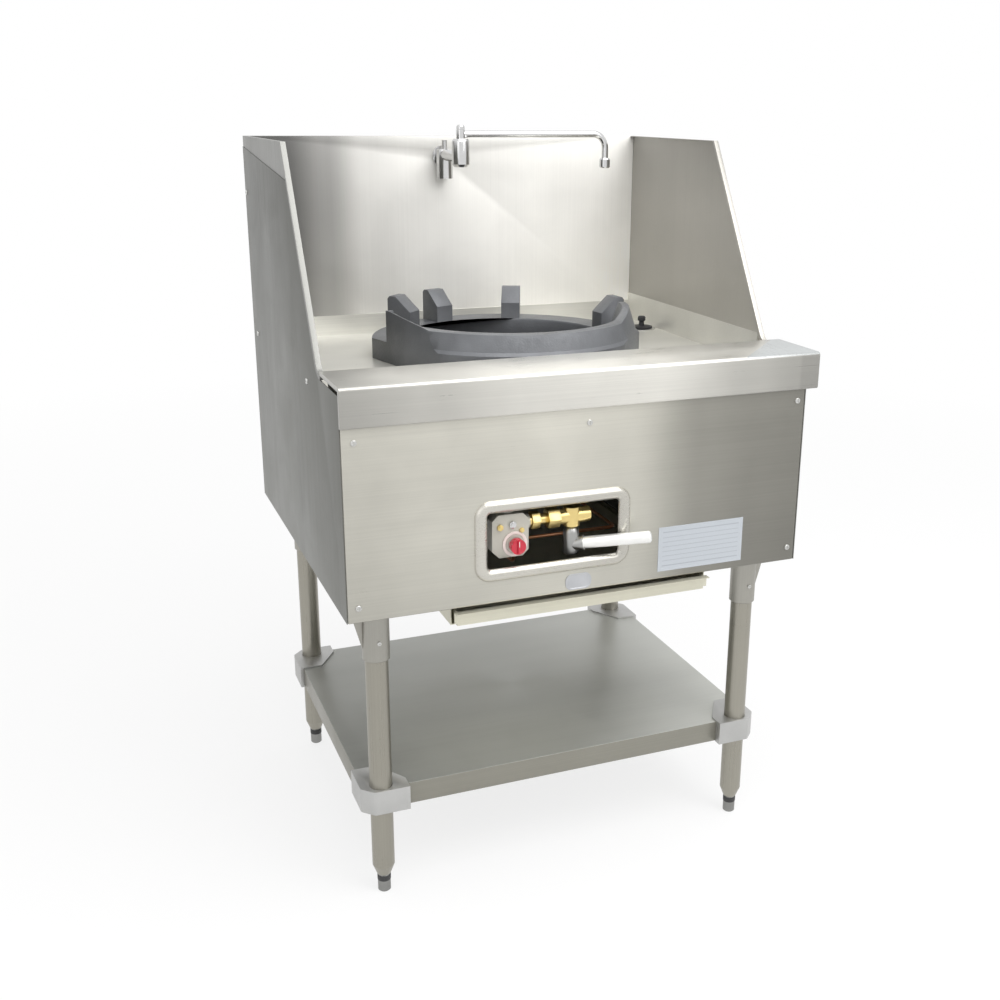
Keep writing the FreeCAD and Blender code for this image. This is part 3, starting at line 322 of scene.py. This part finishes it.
def choose(piece, test):
    """Go into edit mode with only those faces selected whose middle and normal pass the test."""
    activate(piece)
    bpy.ops.object.mode_set(mode="EDIT")
    bpy.ops.mesh.select_mode(type="FACE")
    bpy.ops.mesh.select_all(action="DESELECT")
    bpy.ops.object.mode_set(mode="OBJECT")
    for face in piece.data.polygons:
        face.select = test(face.center, face.normal)
    bpy.ops.object.mode_set(mode="EDIT")


def settle(piece, name):
    """Put the piece's place into its mesh and give it its name."""
    activate(piece)
    bpy.ops.object.transform_apply(location=True, rotation=True, scale=True)
    piece.name = name


def carve(piece, tool):
    cut = piece.modifiers.new("recess", "BOOLEAN")
    cut.operation = "DIFFERENCE"
    cut.solver = "EXACT"
    cut.object = tool
    activate(piece)
    bpy.ops.object.modifier_apply(modifier="recess")
    bpy.data.objects.remove(tool)


def new_cylinder(radius, depth, sides):
    """A cylinder that stands on the origin."""
    bpy.ops.object.select_all(action="DESELECT")
    bpy.ops.mesh.primitive_cylinder_add(vertices=sides, radius=radius, depth=depth,
                                        location=(0, 0, depth / 2))
    piece = bpy.context.object
    bpy.ops.object.transform_apply(location=True)
    return piece


def new_block(size, middle):
    bpy.ops.object.select_all(action="DESELECT")
    bpy.ops.mesh.primitive_cube_add(size=1, location=middle, scale=size)
    piece = bpy.context.object
    bpy.ops.object.transform_apply(location=True, rotation=True, scale=True)
    return piece


def join(pieces):
    activate(pieces[0])
    for piece in pieces[1:]:
        piece.select_set(True)
    bpy.ops.object.join()
    return bpy.context.object


def pan_head(radius, height):
    """Screw head with a rounded rim and a cross recess, standing on the origin."""
    head = new_cylinder(radius, height, 36)
    choose(head, lambda centre, normal: normal.z > 0.9)
    bpy.ops.mesh.bevel(offset=height * 0.75, segments=5, affect="EDGES")
    bpy.ops.object.mode_set(mode="OBJECT")
    arm, width, deep = radius * 1.15, radius * 0.24, height * 0.55
    carve(head, new_block((arm, width, deep), (0, 0, height - deep * 0.45)))
    carve(head, new_block((width, arm, deep), (0, 0, height - deep * 0.45)))
    activate(head)
    bpy.ops.object.shade_smooth_by_angle(angle=math.radians(35))
    return head


def spread_copies(model, seats, name):
    """Stand a copy of the model at each seat and join them under one name."""
    copies = []
    for foot, way in seats:
        twin = model.copy()
        twin.data = model.data.copy()
        bpy.context.scene.collection.objects.link(twin)
        turn = way.to_track_quat("Z", "Y").to_matrix().to_4x4()
        twin.matrix_world = Matrix.Translation(foot) @ turn
        copies.append(twin)
    bpy.data.objects.remove(model)
    bpy.context.view_layer.update()
    whole = join(copies)
    settle(whole, name)
    return whole


screw_steel = brushed_steel("screw_steel", (0.62, 0.62, 0.60), "X", 0.28, metallic=0.9, scratch=0.05)
panel_screws = spread_copies(pan_head(0.005, 0.0021), [seat_of(*box) for box in
                                                       solids_of("panel_screws")],
                             "pan_head_screws")
coat(panel_screws, screw_steel)
hang(panel_screws, "cabinet", "chrome", "panel_screws")


# ------------------------------------------------------------------ base frame, burner and drum
# Mild steel and cast iron that the panels hide: angle frame, burner drum, ring burner, mixing tube and
# bracket. Their near-black colour is partly heat-blackened metal and partly painted shade for the
# unlit inside of the cabinet.

def cast_metal(name, colour, metallic, roughness, pit=260.0, depth=0.0006, wear=0.25):
    """Sand-cast surface: fine pits, soft mottling, and paler metal where it has been rubbed."""
    material, nodes, links = new_material(name)
    shader = nodes["Principled BSDF"]
    shader.inputs["Metallic"].default_value = metallic
    place = nodes.new("ShaderNodeTexCoord")
    grit = nodes.new("ShaderNodeTexNoise")
    grit.inputs["Scale"].default_value = pit
    grit.inputs["Detail"].default_value = 6.0
    links.new(place.outputs["Object"], grit.inputs["Vector"])
    mottle = nodes.new("ShaderNodeTexNoise")
    mottle.inputs["Scale"].default_value = 14.0
    mottle.inputs["Detail"].default_value = 5.0
    links.new(place.outputs["Object"], mottle.inputs["Vector"])
    ramp = nodes.new("ShaderNodeValToRGB")
    ramp.color_ramp.elements[0].position = 0.30
    ramp.color_ramp.elements[1].position = 0.72
    ramp.color_ramp.elements[0].color = (*[part * (1 - wear) for part in colour], 1)
    ramp.color_ramp.elements[1].color = (*[min(1, part * (1 + wear)) for part in colour], 1)
    links.new(mottle.outputs["Fac"], ramp.inputs["Fac"])
    links.new(ramp.outputs["Color"], shader.inputs["Base Color"])
    rough = nodes.new("ShaderNodeMapRange")
    rough.inputs["To Min"].default_value = roughness - 0.10
    rough.inputs["To Max"].default_value = roughness + 0.10
    links.new(grit.outputs["Fac"], rough.inputs["Value"])
    links.new(rough.outputs["Result"], shader.inputs["Roughness"])
    bump = nodes.new("ShaderNodeBump")
    bump.inputs["Strength"].default_value = 0.5
    bump.inputs["Distance"].default_value = depth
    links.new(grit.outputs["Fac"], bump.inputs["Height"])
    links.new(bump.outputs["Normal"], shader.inputs["Normal"])
    return material


frame_steel = cast_metal("frame_steel", (0.22, 0.22, 0.21), 0.8, 0.5, pit=500.0, depth=0.0002)
drum_steel = cast_metal("drum_steel", (0.10, 0.095, 0.09), 0.7, 0.6, pit=400.0, depth=0.0002)
burner_iron = cast_metal("burner_iron", (0.045, 0.043, 0.042), 0.4, 0.7)
finish_node("base_frame", frame_steel)
finish_node("burner_bracket", frame_steel)
finish_node("burner_chamber", drum_steel)
finish_node("burner_head", burner_iron)
finish_node("mixing_tube", burner_iron)
finish_node("pilot_burner", frame_steel)


# ------------------------------------------------------------------ wok ring
# A heavy iron casting, blue-grey from its paint and heat, with every edge rounded by the mould.
# It stands on the sunken floor by its own weight and lifts out.

ring_iron = cast_metal("ring_iron", (0.125, 0.130, 0.139), 0.25, 0.40, pit=330.0, depth=0.0008,
                       wear=0.2)
soften("wok_ring", "wok_ring_body", "ring_iron", 0.004, ring_iron)


# ------------------------------------------------------------------ gas train
# The flame-failure valve is a painted casting; its knob, the brass nipple, the lever valve and
# the copper pilot tube show through the window.

def plain_metal(name, colour, roughness, metallic=1.0, wear=0.12, scale=40.0):
    """Turned, drawn or plated metal with faint handling marks."""
    material, nodes, links = new_material(name)
    shader = nodes["Principled BSDF"]
    shader.inputs["Metallic"].default_value = metallic
    place = nodes.new("ShaderNodeTexCoord")
    marks = nodes.new("ShaderNodeTexNoise")
    marks.inputs["Scale"].default_value = scale
    marks.inputs["Detail"].default_value = 6.0
    links.new(place.outputs["Object"], marks.inputs["Vector"])
    ramp = nodes.new("ShaderNodeValToRGB")
    ramp.color_ramp.elements[0].position = 0.32
    ramp.color_ramp.elements[1].position = 0.66
    ramp.color_ramp.elements[0].color = (*[part * (1 - wear) for part in colour], 1)
    ramp.color_ramp.elements[1].color = (*colour, 1)
    links.new(marks.outputs["Fac"], ramp.inputs["Fac"])
    links.new(ramp.outputs["Color"], shader.inputs["Base Color"])
    rough = nodes.new("ShaderNodeMapRange")
    rough.inputs["To Min"].default_value = max(0.02, roughness - 0.06)
    rough.inputs["To Max"].default_value = roughness + 0.10
    links.new(marks.outputs["Fac"], rough.inputs["Value"])
    links.new(rough.outputs["Result"], shader.inputs["Roughness"])
    bump = nodes.new("ShaderNodeBump")
    bump.inputs["Strength"].default_value = 0.06
    bump.inputs["Distance"].default_value = 0.0004
    links.new(marks.outputs["Fac"], bump.inputs["Height"])
    links.new(bump.outputs["Normal"], shader.inputs["Normal"])
    return material


def threaded(metal, axis, pitch, above=-1.0):
    """The same metal with a fine thread along one axis, above the given height."""
    metal = metal.copy()
    nodes, links = metal.node_tree.nodes, metal.node_tree.links
    place = nodes.new("ShaderNodeTexCoord")
    ridges = nodes.new("ShaderNodeTexWave")
    ridges.bands_direction = axis
    ridges.inputs["Scale"].default_value = 0.314 / pitch
    links.new(place.outputs["Object"], ridges.inputs["Vector"])
    split = nodes.new("ShaderNodeSeparateXYZ")
    links.new(place.outputs["Object"], split.inputs["Vector"])
    higher = nodes.new("ShaderNodeMath")
    higher.operation = "GREATER_THAN"
    higher.inputs[1].default_value = above
    links.new(split.outputs["Z"], higher.inputs[0])
    height = nodes.new("ShaderNodeMath")
    height.operation = "MULTIPLY"
    links.new(ridges.outputs["Fac"], height.inputs[0])
    links.new(higher.outputs["Value"], height.inputs[1])
    bump = nodes.new("ShaderNodeBump")
    bump.inputs["Strength"].default_value = 0.6
    bump.inputs["Distance"].default_value = pitch * 0.4
    links.new(height.outputs["Value"], bump.inputs["Height"])
    links.new(bump.outputs["Normal"], nodes["Principled BSDF"].inputs["Normal"])
    return metal


valve_paint = plain_metal("valve_paint", (0.52, 0.50, 0.44), 0.42, metallic=0.3)
brass = plain_metal("brass", (0.84, 0.66, 0.28), 0.28)
copper = plain_metal("copper", (0.72, 0.36, 0.20), 0.30)
chrome = plain_metal("chrome", (0.66, 0.66, 0.66), 0.12, wear=0.06)
hub_grey = plain_metal("hub_grey", (0.40, 0.40, 0.39), 0.34)
pipe_steel = plain_metal("pipe_steel", (0.35, 0.34, 0.32), 0.42)
soften("flame_valve_body", "cabinet", "valve_grey", 0.0018, valve_paint)
soften("main_valve_body", "cabinet", "brass", 0.0012, brass)
soften("brass_nipple", "cabinet", "brass", 0.0010, brass)
soften("lever_hub", "gas_lever", "valve_grey", 0.0016, hub_grey)
finish_node("injector_pipe", brass)
finish_node("gas_inlet_pipe", threaded(pipe_steel, "Y", 0.0018))
finish_node("pilot_tube", copper)
finish_node("pilot_spindle", chrome)
lever_white = plain_metal("lever_white", (0.86, 0.86, 0.84), 0.30, metallic=0.55, wear=0.08)
lever = soften("lever_handle", "gas_lever", "chrome", 0.0008, lever_white)
hub_low, hub_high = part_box("lever_hub")
hub_middle = (hub_low + hub_high) / 2
COLLAR_REACH = 0.0225
lever.data.materials.append(hub_grey)
for face in lever.data.polygons:
    if (face.center - hub_middle).xy.length < COLLAR_REACH:
        face.material_index = 1


def hexagon_nut(across, thick):
    """Hexagon nut with chamfered corners and a round shoulder, standing on the origin."""
    nut = new_cylinder(across / math.sqrt(3), thick, 6)
    round_off(nut, across * 0.05, 2)
    collar = new_cylinder(across * 0.36, thick * 1.35, 24)
    round_off(collar, across * 0.04, 2)
    return join([nut, collar])


spindle_boss = 0.003
valve_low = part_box("flame_valve_body")[0]
valve_face = valve_low.y + spindle_boss
TAPPINGS = (("thermocouple_nut", 0.013, 0.052, 0.0095, 0.0042, brass),
            ("test_point", 0.034, 0.055, 0.0110, 0.0044, chrome),
            ("setting_screw", 0.050, 0.044, 0.0075, 0.0034, brass))
for name, along, up, across, thick, metal in TAPPINGS:
    nut = hexagon_nut(across, thick)
    coat(nut, metal)
    nut = spread_copies(nut, [(Vector((valve_low.x + along, valve_face, valve_low.z + up)),
                               Vector((0, -1, 0)))], name)
    hang(nut, "cabinet", "brass")


# ------------------------------------------------------------------ pilot knob
# A small red moulded knob with grip flutes and a pointer bar, pushed onto the valve's spindle,
# and the pale moulded bezel that is screwed to the valve behind it.

def moulded(name, colour, roughness, coat_level=0.0, grain=600.0):
    """Moulded plastic or rubber with a very fine grain."""
    material, nodes, links = new_material(name)
    shader = nodes["Principled BSDF"]
    shader.inputs["Coat Weight"].default_value = coat_level
    place = nodes.new("ShaderNodeTexCoord")
    grit = nodes.new("ShaderNodeTexNoise")
    grit.inputs["Scale"].default_value = grain
    grit.inputs["Detail"].default_value = 3.0
    links.new(place.outputs["Object"], grit.inputs["Vector"])
    ramp = nodes.new("ShaderNodeValToRGB")
    ramp.color_ramp.elements[0].color = (*[part * 0.85 for part in colour], 1)
    ramp.color_ramp.elements[1].color = (*colour, 1)
    links.new(grit.outputs["Fac"], ramp.inputs["Fac"])
    links.new(ramp.outputs["Color"], shader.inputs["Base Color"])
    rough = nodes.new("ShaderNodeMapRange")
    rough.inputs["To Min"].default_value = roughness - 0.05
    rough.inputs["To Max"].default_value = roughness + 0.08
    links.new(grit.outputs["Fac"], rough.inputs["Value"])
    links.new(rough.outputs["Result"], shader.inputs["Roughness"])
    bump = nodes.new("ShaderNodeBump")
    bump.inputs["Strength"].default_value = 0.15
    bump.inputs["Distance"].default_value = 0.0002
    links.new(grit.outputs["Fac"], bump.inputs["Height"])
    links.new(bump.outputs["Normal"], shader.inputs["Normal"])
    return material


knob_red = moulded("knob_red", (0.55, 0.02, 0.045), 0.3, coat_level=0.3)
mark_white = moulded("mark_white", (0.80, 0.76, 0.74), 0.4)
bezel_pale = moulded("bezel_pale", (0.78, 0.68, 0.64), 0.38, coat_level=0.2)
knob_low, knob_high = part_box("pilot_knob")
knob_radius = (knob_high.x - knob_low.x) / 2
bar_height = 0.003
skirt = (knob_high.y - knob_low.y) - bar_height
FLUTES = 10
knob = new_cylinder(knob_radius, skirt, FLUTES * 4)


def on_flute(centre, normal):
    sector = math.degrees(math.atan2(centre.y, centre.x)) % 360 / (90 / FLUTES)
    return abs(normal.z) < 0.1 and int(sector) % 4 == 0


choose(knob, on_flute)
bpy.ops.mesh.inset(thickness=0.0003, depth=-0.0009, use_individual=True)
# The lower end walls of the flutes lean forward almost as far as the front face itself.
choose(knob, lambda centre, normal: normal.z > 0.99)
bpy.ops.mesh.inset(thickness=0.0016, depth=0.0)
bpy.ops.mesh.inset(thickness=0.0005, depth=-0.0006)
bpy.ops.object.mode_set(mode="OBJECT")
round_off(knob, 0.0005, 2)
pointer = new_block((0.0052, knob_radius * 1.8, bar_height + 0.0005),
                    (0, 0, skirt + (bar_height - 0.0005) / 2))
choose(pointer, lambda centre, normal: normal.z > 0.9)
bpy.ops.transform.resize(value=(0.6, 0.94, 1), center_override=(0, 0, skirt + bar_height))
bpy.ops.object.mode_set(mode="OBJECT")
round_off(pointer, 0.0005, 2, 20)
mark = new_block((0.0012, knob_radius * 0.75, 0.0004),
                 (0, knob_radius * 0.45, skirt + bar_height - 0.00015))
coat(knob, knob_red)
coat(pointer, knob_red)
coat(mark, mark_white)
knob = join([knob, pointer, mark])
knob = spread_copies(knob, [(Vector(((knob_low.x + knob_high.x) / 2, knob_high.y,
                                     (knob_low.z + knob_high.z) / 2)), Vector((0, -1, 0)))],
                     "red_knob")
hang(knob, "pilot_knob_body", "knob_red", "pilot_knob")

bezel_radius, bezel_bore, bezel_thick = 0.0210, 0.0158, 0.0024
bezel = new_cylinder(bezel_radius, bezel_thick, 64)
choose(bezel, lambda centre, normal: abs(normal.z) > 0.9)
bpy.ops.mesh.inset(thickness=bezel_radius - bezel_bore)
bpy.ops.mesh.bridge_edge_loops()
bpy.ops.object.mode_set(mode="OBJECT")
round_off(bezel, 0.0007, 3)
coat(bezel, bezel_pale)
bezel = spread_copies(bezel, [(Vector(((knob_low.x + knob_high.x) / 2, valve_face,
                                       (knob_low.z + knob_high.z) / 2)), Vector((0, -1, 0)))],
                      "knob_bezel")
hang(bezel, "cabinet", "valve_grey")


# ------------------------------------------------------------------ legs, feet, sockets, shelf
# Stainless tube legs stand in welded sockets; cast alloy clamps hold the folded undershelf.
# Each screwed foot carries a dark band below the tube.

leg_steel = brushed_steel("leg_steel", (0.345, 0.33, 0.285), "Z", 0.30, patch=0.06)
socket_steel = brushed_steel("socket_steel", (0.38, 0.37, 0.335), "Z", 0.36, patch=0.06)
# The shelf is painted lighter towards the right: painted light.
shelf_steel = brushed_steel("shelf_steel", (0.40, 0.405, 0.38), "X", 0.38, metallic=0.5,
                            light_shade_ramps=[("X", [(-0.38, 0.94), (0.0, 1.0), (0.25, 1.25), (0.38, 1.3)])])
clamp_alloy = cast_metal("clamp_alloy", (0.48, 0.48, 0.47), 0.85, 0.42, pit=500.0, depth=0.0003,
                         wear=0.08)
foot_steel = plain_metal("foot_steel", (0.30, 0.30, 0.29), 0.42)
foot_band = moulded("foot_band", (0.035, 0.035, 0.036), 0.5)
FOOT_BAND = (0.021, 0.0318)
FEET = {"front_left": "foot_fl", "front_right": "foot_fr",
        "rear_left": "foot_rl", "rear_right": "foot_rr"}
for corner, foot_body in FEET.items():
    finish_node(f"leg_{corner}", leg_steel)
    finish_node(f"leg_socket_{corner}", socket_steel)
    finish_node(f"foot_{corner}", foot_steel)
    soften(f"shelf_clamp_{corner}", "cabinet", "clamp_alloy", 0.0022, clamp_alloy)
    foot_low, foot_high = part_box(f"foot_{corner}")
    band_radius = (foot_high.x - foot_low.x) / 2 + 0.0006
    band = new_cylinder(band_radius, FOOT_BAND[1] - FOOT_BAND[0], 40)
    round_off(band, 0.001, 2)
    coat(band, foot_band)
    band = spread_copies(band, [(Vector(((foot_low.x + foot_high.x) / 2,
                                         (foot_low.y + foot_high.y) / 2, FOOT_BAND[0])),
                                 Vector((0, 0, 1)))], f"foot_band_{corner}")
    hang(band, foot_body, "plug_black")
# The shelf's upright edges take a darker, warmer copy of its steel; the darkening is painted shade.
shelf_edge_shaded_steel = brushed_steel("shelf_edge_shaded_steel", (0.27, 0.262, 0.225), "X", 0.34, metallic=0.6)
shelf = soften("shelf", "cabinet", "zinc_steel", 0.0008, shelf_steel)
shelf.data.materials.append(shelf_edge_shaded_steel)
for face in shelf.data.polygons:
    if abs(face.normal.z) < 0.3:
        face.material_index = 1

grub = new_cylinder(0.0035, 0.0021, 28)
choose(grub, lambda centre, normal: normal.z > 0.9)
bpy.ops.mesh.bevel(offset=0.0005, segments=2, affect="EDGES")
bpy.ops.object.mode_set(mode="OBJECT")
key_recess = new_cylinder(0.0018, 0.002, 6)
key_recess.location.z = 0.0009
carve(grub, key_recess)
grubs = spread_copies(grub, [seat_of(*box) for box in solids_of("socket_screws")],
                      "socket_grub_screws")
coat(grubs, screw_steel)
hang(grubs, "cabinet", "chrome", "socket_screws")


# ------------------------------------------------------------------ drip tray
# A folded tray that slides out on two L-shaped runners under the cabinet. It is plain sheet with
# a warm, dull brushing.

tray_steel = brushed_steel("tray_steel", (0.70, 0.68, 0.56), "X", 0.36, metallic=0.6)
finish_node("drip_tray", tray_steel)
finish_node("tray_runners", tray_steel)


# ------------------------------------------------------------------ tap and water pipe
# Chrome-plated castings and tube; the spout swings between the body and its cap nut. The supply
# behind the splashback is copper pipe.

soften("tap_inlet", "cabinet", "chrome", 0.0012, chrome)
soften("tap_body", "cabinet", "chrome", 0.0012, chrome)
finish_node("tap_cap_nut", chrome)
finish_node("tap_spout", chrome)
finish_node("spout_nozzle", chrome)
finish_node("stop_spindle", chrome)
finish_node("water_pipe", copper)


# ------------------------------------------------------------------ waste
# A plated waste in the sunken floor, with a moulded rubber plug that stands in it by its own
# weight and lifts out by its knob.

plug_rubber = moulded("plug_rubber", (0.025, 0.025, 0.028), 0.5)
finish_node("waste_outlet", chrome)
finish_node("waste_plug", plug_rubber)


# ------------------------------------------------------------------ data plate and badge
# A pale data plate with a raised border and plain ruled lines, and a small pressed badge with a
# raised rim and an empty field. Neither carries any wording.

label_paper = moulded("label_paper", (0.47, 0.50, 0.535), 0.45)
badge_metal = plain_metal("badge_metal", (0.55, 0.56, 0.58), 0.3)
rule_grey = moulded("rule_grey", (0.36, 0.385, 0.42), 0.5)
plate_low, plate_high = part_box("data_plate")
border, sunk = 0.0024, 0.0002
plate = merged_copy("data_plate", "ruled_plate")
choose(plate, lambda centre, normal: normal.y < -0.9)
bpy.ops.mesh.inset(thickness=border)
bpy.ops.mesh.inset(thickness=0.0004, depth=-sunk)
bpy.ops.object.mode_set(mode="OBJECT")
coat(plate, label_paper)
rule_face = plate_low.y + sunk
rule_wide = plate_high.x - plate_low.x - 0.016
rule_lines = [plate]
for level in (0.88, 0.76, 0.655, 0.55, 0.445, 0.34, 0.235, 0.12):
    heavy = 0.0016 if level in (0.88, 0.12) else 0.0009
    rule = new_block((rule_wide, 0.0001, heavy),
                     ((plate_low.x + plate_high.x) / 2, rule_face - 0.00004,
                      plate_low.z + (plate_high.z - plate_low.z) * level))
    coat(rule, rule_grey)
    rule_lines.append(rule)
plate = join(rule_lines)
settle(plate, "ruled_plate")
hang(plate, "cabinet", "label_white", "data_plate")

badge = merged_copy("badge_plate", "blank_badge")
choose(badge, lambda centre, normal: normal.y < -0.9)
bpy.ops.mesh.inset(thickness=0.0004, depth=0)
bpy.ops.mesh.inset(thickness=0.0018)
bpy.ops.mesh.inset(thickness=0.0007, depth=-0.0005)
bpy.ops.mesh.inset(thickness=0.0025, depth=0.0002)
bpy.ops.object.mode_set(mode="OBJECT")
bpy.ops.object.shade_smooth_by_angle(angle=math.radians(40))
coat(badge, badge_metal)
hang(badge, "cabinet", "badge_silver", "badge_plate")


# ------------------------------------------------------------------ studio
# Pale floor, soft lamps, a bright surround, and the camera where the photograph was taken from.
# The floor turns even white with distance, so that its far edge hardly shows.

def seen_directly(nodes, links):
    """1 where the surface is seen by the camera, in a reflection or through glass."""
    path = nodes.new("ShaderNodeLightPath")
    either = nodes.new("ShaderNodeMath")
    either.operation = "MAXIMUM"
    links.new(path.outputs["Is Camera Ray"], either.inputs[0])
    links.new(path.outputs["Is Glossy Ray"], either.inputs[1])
    any_of = nodes.new("ShaderNodeMath")
    any_of.operation = "MAXIMUM"
    links.new(either.outputs["Value"], any_of.inputs[0])
    links.new(path.outputs["Is Transmission Ray"], any_of.inputs[1])
    return any_of.outputs["Value"]


def floor_paint():
    """White studio floor with the range's soft shadow, fading to even white far from it."""
    material, nodes, links = new_material("floor_paint")
    shader = nodes["Principled BSDF"]
    shader.inputs["Base Color"].default_value = (0.86, 0.86, 0.86, 1)
    shader.inputs["Roughness"].default_value = 0.75
    white = nodes.new("ShaderNodeEmission")
    white.inputs["Strength"].default_value = 1.0
    share = nodes.new("ShaderNodeMath")
    share.operation = "MULTIPLY"
    place = nodes.new("ShaderNodeTexCoord")
    reach = nodes.new("ShaderNodeVectorMath")
    reach.operation = "LENGTH"
    links.new(place.outputs["Object"], reach.inputs[0])
    even = nodes.new("ShaderNodeMapRange")
    even.inputs["From Min"].default_value = 1.4
    even.inputs["From Max"].default_value = 4.0
    even.inputs["To Min"].default_value = 0.78
    even.inputs["To Max"].default_value = 1.0
    links.new(reach.outputs["Value"], even.inputs["Value"])
    links.new(even.outputs["Result"], share.inputs[1])
    links.new(seen_directly(nodes, links), share.inputs[0])
    blend = nodes.new("ShaderNodeMixShader")
    links.new(share.outputs["Value"], blend.inputs["Fac"])
    links.new(shader.outputs["BSDF"], blend.inputs[1])
    links.new(white.outputs["Emission"], blend.inputs[2])
    links.new(blend.outputs["Shader"], nodes["Material Output"].inputs["Surface"])
    return material


bpy.ops.mesh.primitive_plane_add(size=60)
floor = bpy.context.object
floor.name = "floor"
coat(floor, floor_paint())

world = bpy.data.worlds.new("studio")
bpy.context.scene.world = world
world.use_nodes = True
sky, links = world.node_tree.nodes, world.node_tree.links
surround = sky["Background"]
surround.inputs["Strength"].default_value = 0.75
surround.inputs["Color"].default_value = (1, 1, 1, 1)
bright = sky.new("ShaderNodeBackground")
bright.inputs["Strength"].default_value = 1.0
bright.inputs["Color"].default_value = (1, 1, 1, 1)
mix = sky.new("ShaderNodeMixShader")
links.new(seen_directly(sky, links), mix.inputs["Fac"])
links.new(surround.outputs["Background"], mix.inputs[1])
links.new(bright.outputs["Background"], mix.inputs[2])
links.new(mix.outputs["Shader"], sky["World Output"].inputs["Surface"])


def lamp(name, place, aim, size, power):
    light = bpy.data.lights.new(name, "AREA")
    light.shape = "SQUARE"
    light.size = size
    light.energy = power
    holder = bpy.data.objects.new(name, light)
    bpy.context.scene.collection.objects.link(holder)
    holder.location = place
    holder.rotation_euler = (Vector(aim) - Vector(place)).to_track_quat("-Z", "Y").to_euler()


lamp("key", (1.8, -3.2, 3.2), (0, 0, 0.7), 2.2, 34)
lamp("fill", (-2.8, -2.2, 2.2), (0, 0, 0.7), 2.5, 12)
lamp("top", (0.5, -1.0, 3.1), (0.1, 0.3, 0.9), 2.6, 72)

bpy.context.scene.view_settings.view_transform = "Standard"
camera_data = bpy.data.cameras.new("camera")
camera = bpy.data.objects.new("camera", camera_data)
bpy.context.scene.collection.objects.link(camera)
bpy.context.scene.camera = camera
focal_pixels, picture_pixels, sensor_width = 1218.9, 1000, 36
camera_data.sensor_width = sensor_width
camera_data.lens = focal_pixels / picture_pixels * sensor_width
camera_data.shift_x = -0.0439
camera_data.shift_y = -0.005
yaw, pitch, roll = math.radians(22.38), math.radians(17.71), math.radians(0.53)
camera.location = (-0.7821, -2.0384, 1.2872)
forward = Vector((math.sin(yaw) * math.cos(pitch), math.cos(yaw) * math.cos(pitch),
                  -math.sin(pitch)))
level = Vector((math.cos(yaw), -math.sin(yaw), 0))
lift = level.cross(forward)
right = level * math.cos(roll) + lift * math.sin(roll)
up = lift * math.cos(roll) - level * math.sin(roll)
camera.rotation_mode = "QUATERNION"
camera.rotation_quaternion = Matrix((right, up, -forward)).transposed().to_quaternion()
